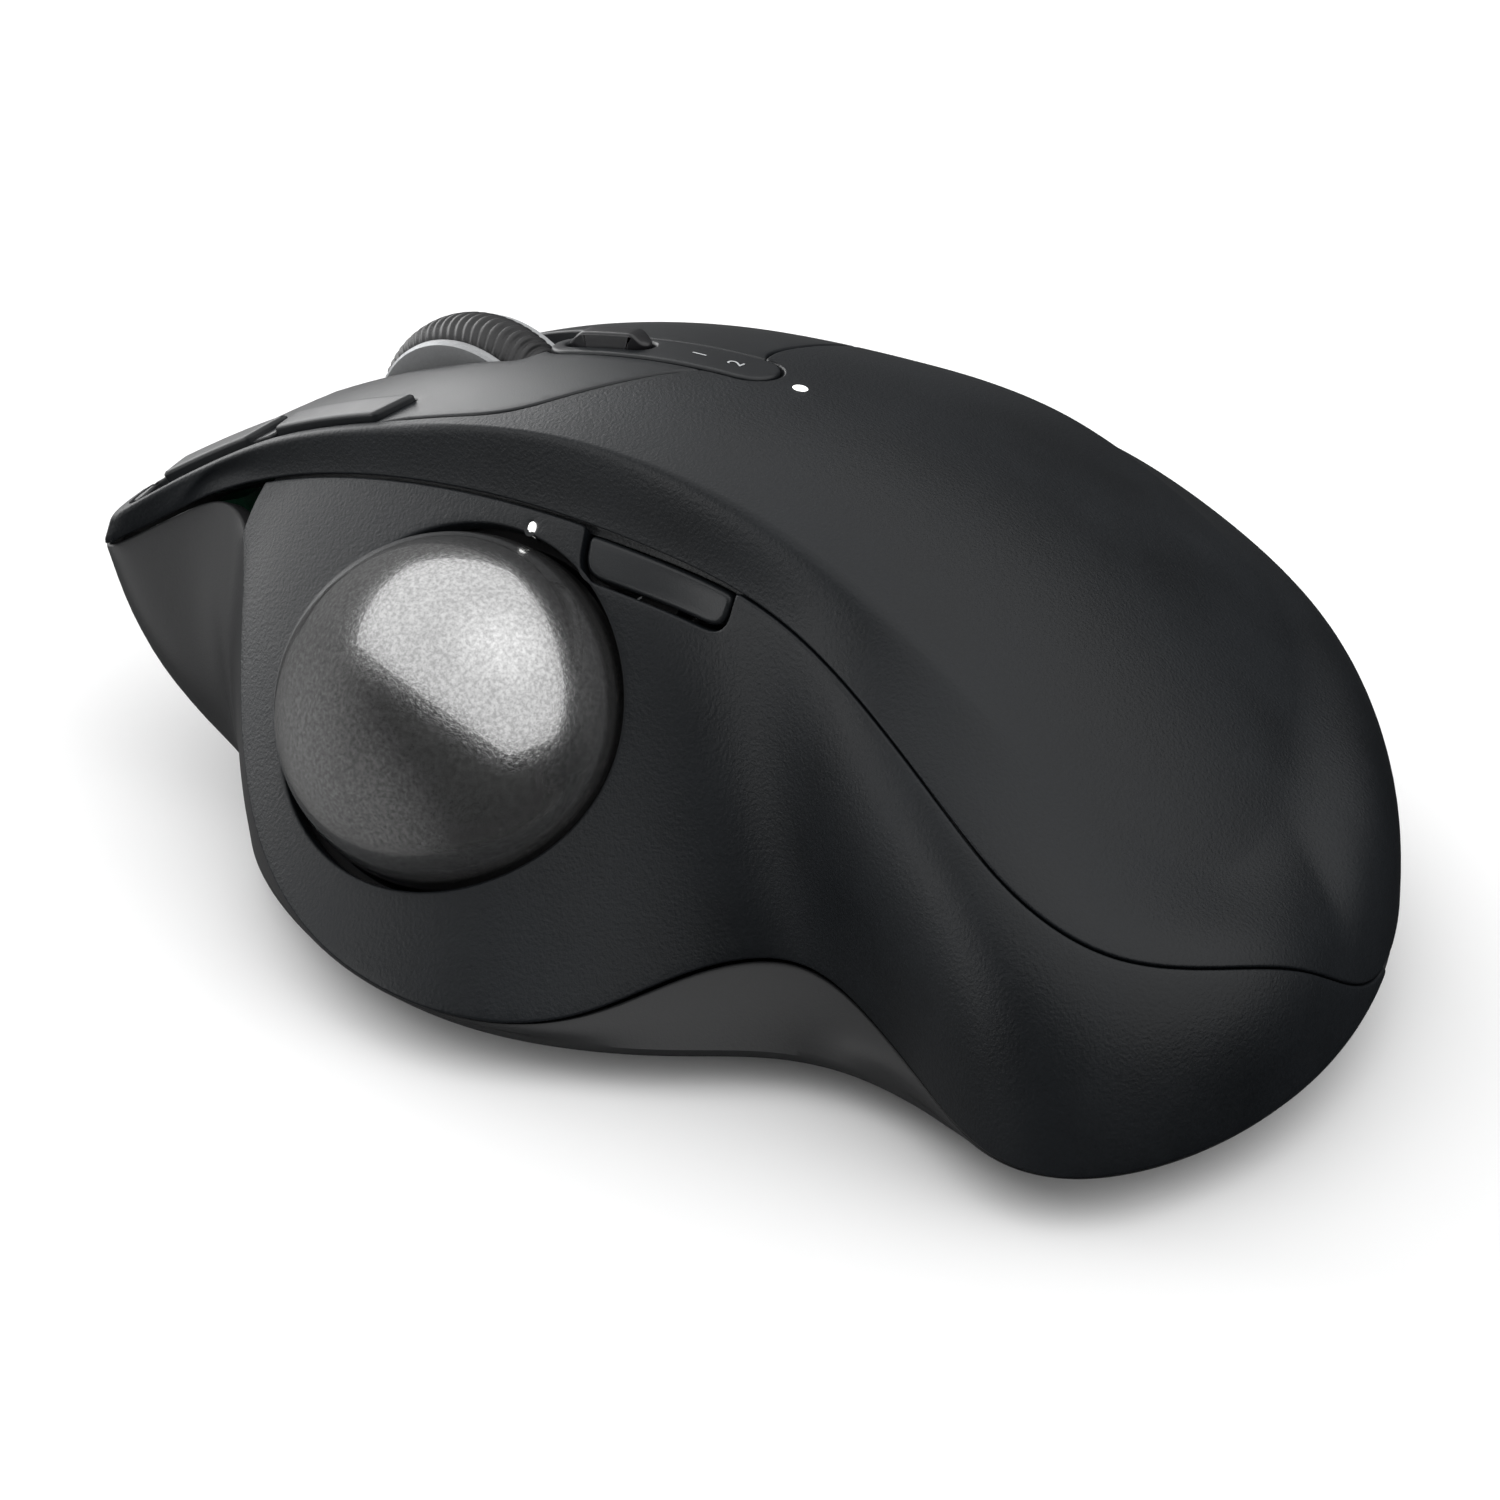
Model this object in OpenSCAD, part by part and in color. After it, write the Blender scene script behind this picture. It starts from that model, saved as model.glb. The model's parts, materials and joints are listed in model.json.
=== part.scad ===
// Thumb-operated trackball mouse: a right-handed body that tilts on a steel base plate.
// Millimetres. Origin under the middle of the object on the desk, +X to the right,
// +Y to the front (the wheel end), +Z up.

/* [Ball] */
// Diameter of the thumb ball
ball_d = 34; // [33:0.25:34]
// Radial gap between the ball and its ring
ball_gap = 0.9; // [0.7:0.1:1.1]

/* [Covers] */
// Thickness of the moulded covers, measured towards the middle of the body
wall = 2.3; // [2:0.1:2.5]
// Gap between two covers that move apart
seam = 0.35; // [0.25:0.05:0.45]
// Steps that each outline segment is drawn in
fineness = 3; // [2:1:4]

/* [Wheel] */
// Outer diameter of the wheel's tyre
wheel_d = 24.6; // [23.6:0.2:24.8]
// Width of the tyre
tyre_w = 6.2; // [5.6:0.2:6.6]
// Width of the wheel's rim
rim_w = 8; // [7.4:0.2:8.2]

/* [Base] */
// Tilt of the body in its raised position, in degrees
tilt = 20; // [16:1:20]
// Thickness of the steel base plate
plate_t = 2.1; // [1.8:0.1:2.1]
// Thickness of the rubber pad under the plate
pad_t = 1; // [0.8:0.1:1]
// Air gap between the plate and the body's underside
lift = 0.3; // [0.2:0.05:0.4]

/* [Hidden] */

DARK = "#2b2d30";
GRAPHITE = "#3d4043";
STEEL = "#b9bcc0";
GREEN = "#20563a";

// One row per station of the outline, anticlockwise from the front left tip:
// inner edge of the cover, ridge, seam, skirt, base and the sharpness of the ridge.
INNER = 0;
RIDGE = 1;
SEAM = 2;
SKIRT = 3;
BASE = 4;
SHARP = 5;
STATIONS = [
    [[-23.6, 66], [-25.5, 67.2], [-26, 67.5, 22.5], [-26, 67.5, 22.5], [-26.5, 46], 1],
    [[-19.2, 61], [-20.5, 61.5], [-21, 61.5, 27], [-21, 61.5, 27], [-28.5, 45.5], 1],
    [[-16.8, 53.5], [-18, 54], [-18.5, 54.5, 31.8], [-18, 54, 32.2], [-31, 44], 1],
    [[-16.5, 45], [-17.7, 45], [-18.5, 45, 36], [-30, 46, 23], [-35, 41], 1],
    [[-16.4, 37], [-17.7, 36], [-18.6, 36, 38.8], [-43, 35, 11.5], [-41, 34], 1],
    [[-16.1, 30.5], [-17.3, 26], [-18.6, 26, 40.8], [-50, 20.5, 6.8], [-47, 20], 1],
    [[-15, 24.5], [-17, 16], [-18.6, 16, 41.8], [-50, 5, 6], [-47.8, 6], 1],
    [[-10, 20.6], [-17, 6], [-18.6, 6, 41.8], [-43.5, -5, 6.5], [-44, -5], 0.8],
    [[-5, 17], [-17, -4], [-19, -4.5, 41.4], [-33, -10, 9.5], [-39, -13], 0.5],
    [[-1.2, 14.6], [-17.3, -14], [-20.6, -13.5, 39.8], [-27, -18, 11.5], [-33.5, -19.5], 0.2],
    [[0.2, 11], [-18, -24], [-23.8, -23.5, 36.6], [-29, -27, 9.5], [-31, -27], 0],
    [[1, 7.6], [-18.5, -33], [-27, -33.5, 32], [-33, -36, 7.5], [-32, -36], 0],
    [[2.6, 6.2], [-17.5, -41], [-29, -42, 27.5], [-37.5, -45.5, 5.6], [-34.7, -45], 0],
    [[4.6, 6.3], [-14, -47], [-27, -51, 23.5], [-35, -54, 5.4], [-33, -52.5], 0],
    [[6.2, 8.2], [-9, -50.5], [-19, -57.5, 21.5], [-24.5, -60.5, 5.4], [-23.5, -58.5], 0],
    [[7.4, 11.2], [-2, -51], [-9, -61.5, 18.3], [-11, -63.7, 6], [-11, -61], 0],
    [[11, 11.8], [6, -49], [3, -62.4, 7.6], [3, -62.5, 7], [2, -59.5], 0],
    [[16, 11.8], [14, -45], [15.8, -58.2, 8.4], [15.8, -58.2, 8], [14, -54.3], 0],
    [[21, 12.1], [25, -39], [27.6, -50.6, 9.4], [27.6, -50.6, 9], [24.4, -46.8], 0.05],
    [[26, 12.8], [31.5, -29.5], [39.2, -39.2, 10.4], [39.2, -39.2, 10], [34, -35.8], 0.35],
    [[29, 14.2], [33.8, -17], [47, -23.2, 11.4], [47, -23.2, 11], [41, -21.5], 0.75],
    [[30, 17], [33.2, -4], [50, -7, 12.4], [50, -7, 12], [44.3, -6.5], 0.9],
    [[30.2, 21], [32, 9], [49.5, 9, 12.9], [49.5, 9, 12.5], [44, 9], 0.9],
    [[30.2, 27], [32, 22], [44.5, 25, 14.4], [44.5, 25, 14], [40, 24], 0.9],
    [[30.4, 35], [32, 34], [38, 38, 18.4], [38, 38, 18], [34, 35], 0.9],
    [[30.8, 43], [32.5, 44], [34, 46, 20], [34, 46, 20], [28, 42], 1],
    [[24, 48], [25, 49], [25, 52.5, 23], [25, 52.5, 23], [21, 44], 0.6],
    [[12, 49.5], [13, 50.5], [13, 56.5, 26], [13, 56.5, 26], [11, 45], 0.4],
    [[1, 51], [2, 52], [2, 58.5, 28], [2, 58.5, 28], [1, 46], 0.4],
    [[-6.6, 55.5], [-7, 56.5], [-6, 62, 27.5], [-6, 62, 27.5], [-8, 47], 0.5],
    [[-14, 62.4], [-14.5, 63.5], [-14, 66.5, 25.5], [-14, 66.5, 25.5], [-16, 47], 0.8],
    [[-20.6, 66.8], [-21.5, 67.8], [-21.5, 69.3, 23], [-21.5, 69.3, 23], [-22, 47], 1]
];
COUNT = len(STATIONS);

// Height of the top surface along the middle, one value every 10 mm from y = -80.
CREST = [-14, 0, 13, 25.5, 34, 40.6, 44.8, 48.3, 50, 50.4, 49.5, 47.1, 43.3, 37.9, 31.6, 25, 18];
CREST_START = -80;
CREST_STEP = 10;
LEAN = -0.1;
FRONT_LEAN = -0.07;
BEND = -0.0088;
// How the top lifts again towards the right shoulder, and where that starts.
SHOULDER = 0.0042;
SHOULDER_X = 10;
SHOULDER_Y = 22;

// The line inside the body that every cover is thickened towards.
SPINE_X = 2;
SPINE_Y = 25;
CAP_CENTRE = [2, 10];
// How much fuller the upper band is where there is no lower band.
FULL = 1;
// How far the band below a sharp seam swells, as a slope at its edges.
PUFF = 0.13;

ball_r = ball_d / 2;
ball_pos = [-30.5, 19, 24.7];
ball_lean = 47;
ring_r = ball_r + ball_gap;
cup_in = ball_r + 0.5;
cup_out = ball_r + 1.9;

wheel_pos = [1.8, 39.7, 33.5];
axle_r = 1.5;
slot_half = 5.6;
tilt_z = 18.5;
pin_r = 1.2;
fit = 0.05;
cradle_y = 14.5;

top_of_plate = pad_t + plate_t;
deck = top_of_plate + lift;
apex_x = 22;
hinge_z = 5;
hinge_x = apex_x - (hinge_z - deck) * tan(tilt / 2);
hinge_ys = [-26, 26];
hinge_pin_r = 1;
floor_t = 2;

oval_rear = [3.7, 10.2];
oval_front = [1.5, 28.6];
oval_r = 2.9;
device_rear = [2.5, 22.2];
device_front = [1.7, 28.6];

// ---- curves ----

function clamp(v, lo, hi) = max(lo, min(v, hi));
function unit(v) = v / norm(v);
function mix(a, b, t) = a + (b - a) * t;
function smooth(t) = let(c = clamp(t, 0, 1)) c * c * (3 - 2 * c);

function basis(t) = [
    pow(1 - t, 3) / 6,
    (3 * t * t * t - 6 * t * t + 4) / 6,
    (-3 * t * t * t + 3 * t * t + 3 * t + 1) / 6,
    t * t * t / 6
];

function wrapped(i) = (i % COUNT + COUNT) % COUNT;
function station(i, what) = STATIONS[wrapped(i)][what];
function loop_at(what, u) =
    let(i = floor(u), b = basis(u - i))
    b[0] * station(i - 1, what) + b[1] * station(i, what)
    + b[2] * station(i + 1, what) + b[3] * station(i + 2, what);

function crest_value(i) = CREST[clamp(i, 0, len(CREST) - 1)];
function crest(y) =
    let(u = (y - CREST_START) / CREST_STEP, i = floor(u), b = basis(u - i))
    b[0] * crest_value(i - 1) + b[1] * crest_value(i)
    + b[2] * crest_value(i + 1) + b[3] * crest_value(i + 2);
function lean(y) = LEAN + FRONT_LEAN * smooth((y - 35) / 20);
function beyond(x) = max(0, x - SHOULDER_X);
function shoulder(y) = SHOULDER * smooth((SHOULDER_Y - y) / 32);
function top_z(x, y) =
    crest(y) + lean(y) * x + BEND * x * x + shoulder(y) * pow(beyond(x), 2);
function on_top(p, rise = 0) = [p[0], p[1], top_z(p[0], p[1]) + rise];

function hermite(p0, m0, p1, m1, t) =
    (2 * t * t * t - 3 * t * t + 1) * p0 + (t * t * t - 2 * t * t + t) * m0
    + (3 * t * t - 2 * t * t * t) * p1 + (t * t * t - t * t) * m1;

// The direction in which the top surface runs out over the ridge.
function cap_slope(r) =
    let(
        out = unit([r[0], r[1]] - CAP_CENTRE),
        gx = lean(r[1]) + 2 * BEND * r[0] + 2 * shoulder(r[1]) * beyond(r[0]),
        gy = (top_z(r[0], r[1] + 0.05) - top_z(r[0], r[1] - 0.05)) / 0.1
    )
    unit([out[0], out[1], gx * out[0] + gy * out[1]]);

function chord(a, b) = norm(b - a) < 0.001 ? [0, 0, 0] : (b - a) / norm(b - a);
function seam_run(r, s, k) =
    let(v = chord(r, s) * norm(k - s) + chord(s, k) * norm(s - r)) chord([0, 0, 0], v);

// A point on the outer skin: v from 0 to 1 crosses the upper band from the ridge to
// the seam, and from 1 to 2 the lower band from the seam to the skirt.
function skin(k, v) =
    let(
        r = on_top(loop_at(RIDGE, k)),
        s = loop_at(SEAM, k),
        e = loop_at(SKIRT, k),
        sharp = loop_at(SHARP, k),
        run = seam_run(r, s, e),
        fall = chord(s, e),
        out = unit(s - spine(s, 0)),
        puff = PUFF * chord([0, 0, 0], out - (out * fall) * fall),
        upper = norm(s - r),
        lower = norm(e - s),
        full = 1 + FULL * (1 - smooth(lower / 6))
    )
    v <= 1
        ? hermite(r, mix(cap_slope(r), chord(r, s), sharp) * upper, s, run * upper * full, v)
        : hermite(s, mix(run, fall + puff, sharp) * lower,
                  e, mix(fall * 1.6 - run * 0.6, fall - puff, sharp) * lower, v - 1);

// A point on the cap between the cover's inner edge (0) and the ridge (1).
function cap(k, v) = on_top(mix(loop_at(INNER, k), loop_at(RIDGE, k), v));

function spine(p, z) = [SPINE_X, clamp(p[1], -SPINE_Y, SPINE_Y), z];
function inward(p, depth, z = 0) = p + depth * unit(spine(p, z) - p);

function plan_normal(what, k) =
    let(d = loop_at(what, k + 0.05) - loop_at(what, k - 0.05)) unit([d[1], -d[0]]);

function underside(x) = deck + max(0, x - apex_x) * tan(tilt);

// ---- solids built from grids of points ----

function flatten(rows) = [for (row = rows) each row];

// Closed solid between a grid of outer points and the same grid moved inward.
module sheet(outer, depth) {
    rows = len(outer);
    cols = len(outer[0]);
    half = rows * cols;
    inner = [for (row = outer) [for (p = row) inward(p, depth)]];
    polyhedron(
        points = concat(flatten(outer), flatten(inner)),
        faces = concat(
            [for (i = [0:rows - 2], j = [0:cols - 2], f = cell(i, j, cols, 0)) f],
            [for (i = [0:rows - 2], j = [0:cols - 2], f = cell(i, j, cols, half)) turned(f)],
            [for (i = [0:rows - 2], f = rim((i + 1) * cols, i * cols, half)) f],
            [for (i = [0:rows - 2], f = rim((i + 1) * cols - 1, (i + 2) * cols - 1, half)) f],
            [for (j = [0:cols - 2], f = rim(j, j + 1, half)) f],
            [for (j = [0:cols - 2], f = rim(half - cols + j + 1, half - cols + j, half)) f]
        )
    );
}

function turned(f) = [f[0], f[2], f[1]];
function cell(i, j, cols, base) =
    let(a = base + i * cols + j, b = a + cols) [[a, b, b + 1], [a, b + 1, a + 1]];
function rim(a, b, half) = [[a, b, b + half], [a, b + half, a + half]];

// Steps from one station to another, a fixed number in each segment.
function along(from, to) =
    let(n = ceil((to - from) * fineness)) [for (i = [0:n]) from + (to - from) * i / n];

// ---- covers ----

BATTERY_LENS = [3.3, 4];
PALM_CAP = [0, 0.18, 0.4, 0.62, 0.82];
PALM_BAND = [0, 0.15, 0.32, 0.5, 0.75, 0.985];
// The seam runs down to the skirt and ends at this station.
SEAM_END = 16.4;
SIDE_BAND = [1.01, 1.08, 1.2, 1.33, 1.46, 1.6, 1.74, 1.88, 2];

module palm_shell() {
    color(DARK)
    difference() {
        sheet([
            for (k = along(-1.2, 24.8))
                concat([for (v = PALM_CAP) cap(k, v)], [for (v = PALM_BAND) skin(k, v)])
        ], wall);
        translate([BATTERY_LENS[0], BATTERY_LENS[1], 45]) cylinder(r = 0.9 + fit, h = 10, $fn = 24);
        precision_opening();
    }
}

// Places things on the lower band, with +Z out of the surface.
function band_normal(k, v) =
    unit(cross(skin(k, v + 0.02) - skin(k, v - 0.02), skin(k + 0.05, v) - skin(k - 0.05, v)));
module on_band(k, v, depth) {
    n = band_normal(k, v);
    translate(skin(k, v) - depth * n)
        rotate([0, acos(n[2]), atan2(n[1], n[0])])
        children();
}

PRECISION_K = 7.1;
PRECISION_V = 1.07;
PRECISION_SIZE = [4.6, 15.5];
PRECISION_ROUND = 1.9;
LENS_K = 5.74;
LENS_V = 1.04;

module rounded_block(size, r, h) {
    linear_extrude(h)
    union() {
        square([size[0] - 2 * r, size[1]], center = true);
        square([size[0], size[1] - 2 * r], center = true);
        for (x = [-1, 1], y = [-1, 1])
            translate([x * (size[0] / 2 - r), y * (size[1] / 2 - r)]) circle(r = r, $fn = 32);
    }
}

module precision_opening() {
    on_band(PRECISION_K, PRECISION_V, 6)
        rounded_block(PRECISION_SIZE + [0.7, 0.7], PRECISION_ROUND + 0.35, 12);
}

module side_shell() {
    color(DARK)
    difference() {
        sheet([for (k = along(2.3, SEAM_END)) [for (v = SIDE_BAND) skin(k, v)]], wall);
        at_ball(-4) cylinder(r = ring_r, h = 16, $fn = 96);
        precision_opening();
        on_band(LENS_K, LENS_V, 5) cylinder(r = 0.7 + fit, h = 10, $fn = 24);
    }
}

module at_ball(height) {
    translate(ball_pos) rotate([0, -ball_lean, 0]) translate([0, 0, height]) children();
}

// Edge of the left main button next to the oval panel and the wheel, rear to front.
LEFT_GUIDE = [[-1.4, 15.6], [-0.5, 17.6], [-0.7, 22], [-1.3, 27.6], [-2.4, 30.2],
              [-3.8, 31.6], [-3.8, 38], [-3.8, 46], [-3.8, 54]];
// Edge of the right main button next to the oval panel and the wheel, rear to front.
RIGHT_GUIDE = [[7.9, 12.4], [7, 15], [6, 22], [5, 28], [5.6, 30.6], [7.4, 31.8],
               [7.4, 38], [7.4, 45], [7.4, 51.4]];
LEFT_NOSE = [30.6, 28.66];
RIGHT_NOSE = [27.5, 25.5];

function guide(points, t) =
    let(u = clamp(t, 0, 0.9999) * (len(points) - 1), i = floor(u))
    mix(points[i], points[i + 1], u - i);

BAR_IN = 5.6;
function bar_clear(y) = BAR_IN * smooth((y - 35.6) / 2.2);
function inner_edge(k) = loop_at(INNER, k) - seam * plan_normal(INNER, k);
function left_edge(t) = let(p = inner_edge(8.7 - 9.98 * t)) p + [bar_clear(p[1]), 0];
function right_edge(t) = inner_edge(15.55 + 9.3 * t);

function button_row(a, b, front, t, cols) = [
    for (j = [0:cols])
        let(v = j / cols, p = mix(a, b, v), gap = front[j] - mix(front[0], front[cols], v))
        on_top(p + gap * pow(t, 4))
];

function front_ridge(from, to, cols) = [for (j = [0:cols]) loop_at(RIDGE, mix(from, to, j / cols))];
function lip(from, to, cols, v) = [for (j = [0:cols]) skin(mix(from, to, j / cols), v)];
LIP_STEPS = [0, 0.3, 0.6, 0.9];
BUTTON_COLS = 8;
BUTTON_ROWS = 14;

module left_button() {
    front = front_ridge(LEFT_NOSE[0], LEFT_NOSE[1], BUTTON_COLS);
    color(GRAPHITE)
    union() {
        sheet(concat(
            [for (i = [0:BUTTON_ROWS - 1]) let(t = i / BUTTON_ROWS)
                button_row(left_edge(t), mix(guide(LEFT_GUIDE, t), front[BUTTON_COLS], pow(t, 8)),
                           front, t, BUTTON_COLS)],
            [for (v = LIP_STEPS) lip(LEFT_NOSE[0], LEFT_NOSE[1], BUTTON_COLS, v)]
        ), wall);
        translate([-9.3, 41.4, 34.1]) cylinder(r = 1.2, h = 7.6, $fn = 24);
    }
}

module right_button() {
    front = front_ridge(RIGHT_NOSE[0], RIGHT_NOSE[1], BUTTON_COLS);
    color(GRAPHITE)
    union() {
        sheet(concat(
            [for (i = [0:BUTTON_ROWS - 1]) let(t = i / BUTTON_ROWS)
                button_row(mix(guide(RIGHT_GUIDE, t), front[0], pow(t, 8)), right_edge(t),
                           front, t, BUTTON_COLS)],
            [for (v = LIP_STEPS) lip(RIGHT_NOSE[0], RIGHT_NOSE[1], BUTTON_COLS, v)]
        ), wall);
        translate([16.2, 38.1, 34.5]) cylinder(r = 1.2, h = 5, $fn = 24);
    }
}

// A raised bar beside the ridge, from one y to another.
BAR_W = 3.7;
BAR_RISE = 0.8;
function bar_x(y) = -16.4 - 0.032 * pow(max(0, y - 53), 1.9);
module side_bar(y0, y1) {
    sheet([
        for (i = [0:12])
            let(t = i / 12, y = mix(y0, y1, t), w = BAR_W * pow(1 - pow(abs(2 * t - 1), 6), 0.5))
            [for (j = [0:4])
                on_top([bar_x(y) + BAR_W / 2 + max(w, 1.2) * (j / 4 - 0.5), y], BAR_RISE)]
    ], wall + 1);
}

module back_button() {
    color(GRAPHITE) side_bar(54.2, 64.4);
}

module forward_button() {
    color(GRAPHITE) side_bar(38.4, 52.4);
}

module precision_button() {
    color(GRAPHITE)
    on_band(PRECISION_K, PRECISION_V, 2.6) rounded_block(PRECISION_SIZE, PRECISION_ROUND, 2.7);
}

module stadium(a, b, r, h) {
    along_x = b - a;
    translate(a)
    rotate(atan2(along_x[1], along_x[0]))
    linear_extrude(h)
    union() {
        translate([0, -r]) square([norm(along_x), 2 * r]);
        circle(r = r, $fn = 48);
        translate([norm(along_x), 0]) circle(r = r, $fn = 48);
    }
}

PANEL_Z = 46.6;
PANEL_LEAN = -5.2;
module on_panel(h) {
    translate([2.6, 19.4, PANEL_Z]) rotate([PANEL_LEAN, 0, 0]) translate([-2.6, -19.4, h]) children();
}

module device_panel() {
    color(GRAPHITE)
    difference() {
        on_panel(0) stadium(oval_rear, oval_front, oval_r - 0.3, 2.2);
        on_panel(-1) stadium(device_rear, device_front, 1.5, 6);
    }
}

module device_button() {
    color(DARK) on_panel(-1) stadium(device_rear, device_front, 1.2, 4.4);
}

module battery_lens() {
    color("white") translate([BATTERY_LENS[0], BATTERY_LENS[1], 46.4]) cylinder(r = 0.9, h = 3.3, $fn = 24);
}

module precision_lens() {
    color("white") on_band(LENS_K, LENS_V, 2.4) cylinder(r = 0.7, h = 2.4, $fn = 24);
}

// ---- lower shell ----

WALL_STEPS = [0, 0.25, 0.5, 0.75];
BASE_ROUND = 1.2;

// How far the front of the lower shell swells between its top edge and its base.
function swell(k) = let(d = min(abs(wrapped(k) - 0), abs(wrapped(k) - 32)), e = abs(wrapped(k) - 28.5))
    0.5 + 2.2 * smooth(1 - min(d, e) / 4);

function tub_edge(k) = inward(loop_at(SKIRT, k), 0.5) - [0, 0, 0.8];
function tub_base(k, inset, rise) =
    let(b = loop_at(BASE, k) - inset * plan_normal(BASE, k))
    [b[0], b[1], underside(b[0]) + rise];
function tub_wall(k, v) =
    let(n = plan_normal(SKIRT, k), p = mix(tub_edge(k), tub_base(k, 0, BASE_ROUND), v))
    p + [n[0], n[1], 0] * swell(k) * sin(180 * v);

function tub_ring_outer(step, steps) = [for (k = steps) tub_wall(k, step)];

// Faces across the floor: rungs join the left and right sides through middle points.
function rung_mid(a, b) =
    let(lo = mix(min(a[0], b[0]), max(a[0], b[0]), 0.2), hi = mix(min(a[0], b[0]), max(a[0], b[0]), 0.8),
        x = clamp(apex_x, lo, hi), t = (x - a[0]) / (b[0] - a[0]))
    [x, mix(a[1], b[1], t)];
function floor_faces(ring, mid, n) =
    let(h = n / 2)
    concat(
        [[ring, ring + 1, mid + 1], [ring, mid + 1, ring + n - 1]],
        [for (i = [1:h - 2]) each [
            [ring + i, ring + i + 1, mid + i + 1],
            [ring + i, mid + i + 1, mid + i],
            [mid + i, mid + i + 1, ring + n - i - 1],
            [mid + i, ring + n - i - 1, ring + n - i]
        ]],
        [[ring + h - 1, ring + h, mid + h - 1], [mid + h - 1, ring + h, ring + h + 1]]
    );

function ring_faces(a, b, n) = [
    for (i = [0:n - 1]) each [
        [a + i, a + (i + 1) % n, b + (i + 1) % n],
        [a + i, b + (i + 1) % n, b + i]
    ]
];

module tub() {
    n = COUNT * fineness;
    steps = [for (i = [0:n - 1]) i / fineness];
    outside = concat(
        [for (v = WALL_STEPS) tub_ring_outer(v, steps)],
        [[for (k = steps) tub_base(k, 0, BASE_ROUND)], [for (k = steps) tub_base(k, BASE_ROUND, 0)]]
    );
    inside = concat(
        [[for (k = steps) inward(loop_at(SKIRT, k), 2.6) - [0, 0, 0.8]]],
        [for (v = [0.25, 0.5, 0.75]) [for (k = steps) inward(tub_wall(k, v), 2.2, 20)]],
        [[for (k = steps) tub_base(k, 3.4, floor_t)]]
    );
    last_out = outside[len(outside) - 1];
    last_in = inside[len(inside) - 1];
    mids_out = [for (i = [0:n / 2 - 1])
        let(m = rung_mid(last_out[i], last_out[(n - i) % n])) i == 0 ? last_out[0]
        : [m[0], m[1], underside(m[0])]];
    mids_in = [for (i = [0:n / 2 - 1])
        let(m = rung_mid(last_in[i], last_in[(n - i) % n])) i == 0 ? last_in[0]
        : [m[0], m[1], underside(m[0]) + floor_t]];
    outs = len(outside);
    ins = len(inside);
    all_rings = (outs + ins) * n;
    polyhedron(
        points = concat(flatten(outside), flatten(inside), mids_out, mids_in),
        faces = concat(
            [for (r = [0:outs - 2], f = ring_faces(r * n, (r + 1) * n, n)) f],
            floor_faces((outs - 1) * n, all_rings, n),
            [for (f = ring_faces(0, outs * n, n)) turned(f)],
            [for (r = [outs:outs + ins - 2], f = ring_faces(r * n, (r + 1) * n, n)) turned(f)],
            [for (f = floor_faces((outs + ins - 1) * n, all_rings + n / 2, n)) turned(f)]
        )
    );
}

SCREW_SPOTS = [[-24, -46], [32, -20], [-24, 40], [30, 30]];
PORT_POS = [1.8, 46.5, 12];
SLIDER_POS = [17, 46, 12];
SLIDER_TRAVEL = 3;

module lower_shell() {
    color(DARK)
    difference() {
        union() {
            tub();
            at_screws() translate([0, 0, 0.6]) cylinder(r = 3.6, h = 2.5, $fn = 32);
        }
        for (y = hinge_ys)
            translate([hinge_x - 3, y - 8.2, 0]) cube([6, 16.4, 9]);
        at_screws() {
            translate([0, 0, -6]) cylinder(r = 2.4, h = 7.1, $fn = 32);
            cylinder(r = 1.3, h = 12, $fn = 24);
        }
        translate(PORT_POS - [4.3, 2, 1.7]) cube([8.6, 12, 3.4]);
        translate(SLIDER_POS - [2.3, 2, 1.5]) cube([4.6 + SLIDER_TRAVEL, 12, 3]);
    }
}

// ---- base ----

PLATE = [[-24, 35], [-40, 26], [-41, 4], [-27, -17], [-27, -44], [-18, -52], [8, -50],
         [28, -34], [36, -16], [36, 12], [28, 32]];
PLATE_ROUND = 6;

module plate_outline(shrink) {
    offset(r = PLATE_ROUND - shrink, $fn = 32)
    offset(delta = -PLATE_ROUND)
    polygon(PLATE);
}

KNUCKLE_R = 1.9;
KNUCKLE_L = 6;
EAR_T = 3;

module base_plate() {
    color(STEEL)
    union() {
        translate([0, 0, pad_t]) linear_extrude(plate_t) plate_outline(0);
        for (y = hinge_ys)
            translate([hinge_x, y, 0])
            difference() {
                union() {
                    translate([0, KNUCKLE_L / 2, hinge_z]) rotate([90, 0, 0])
                        cylinder(r = KNUCKLE_R, h = KNUCKLE_L, $fn = 32);
                    translate([-1.3, -KNUCKLE_L / 2, top_of_plate - 0.1])
                        cube([2.6, KNUCKLE_L, hinge_z - top_of_plate]);
                }
                translate([0, KNUCKLE_L, hinge_z]) rotate([90, 0, 0])
                    cylinder(r = hinge_pin_r, h = 2 * KNUCKLE_L, $fn = 32);
            }
    }
}

module base_pad() {
    color("#17181a") linear_extrude(pad_t) plate_outline(1.5);
}

module tilt_pins() {
    color(STEEL)
    for (y = hinge_ys)
        translate([hinge_x, y + 6.6, hinge_z]) rotate([90, 0, 0])
            cylinder(r = hinge_pin_r, h = 13.2, $fn = 32);
}

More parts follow.
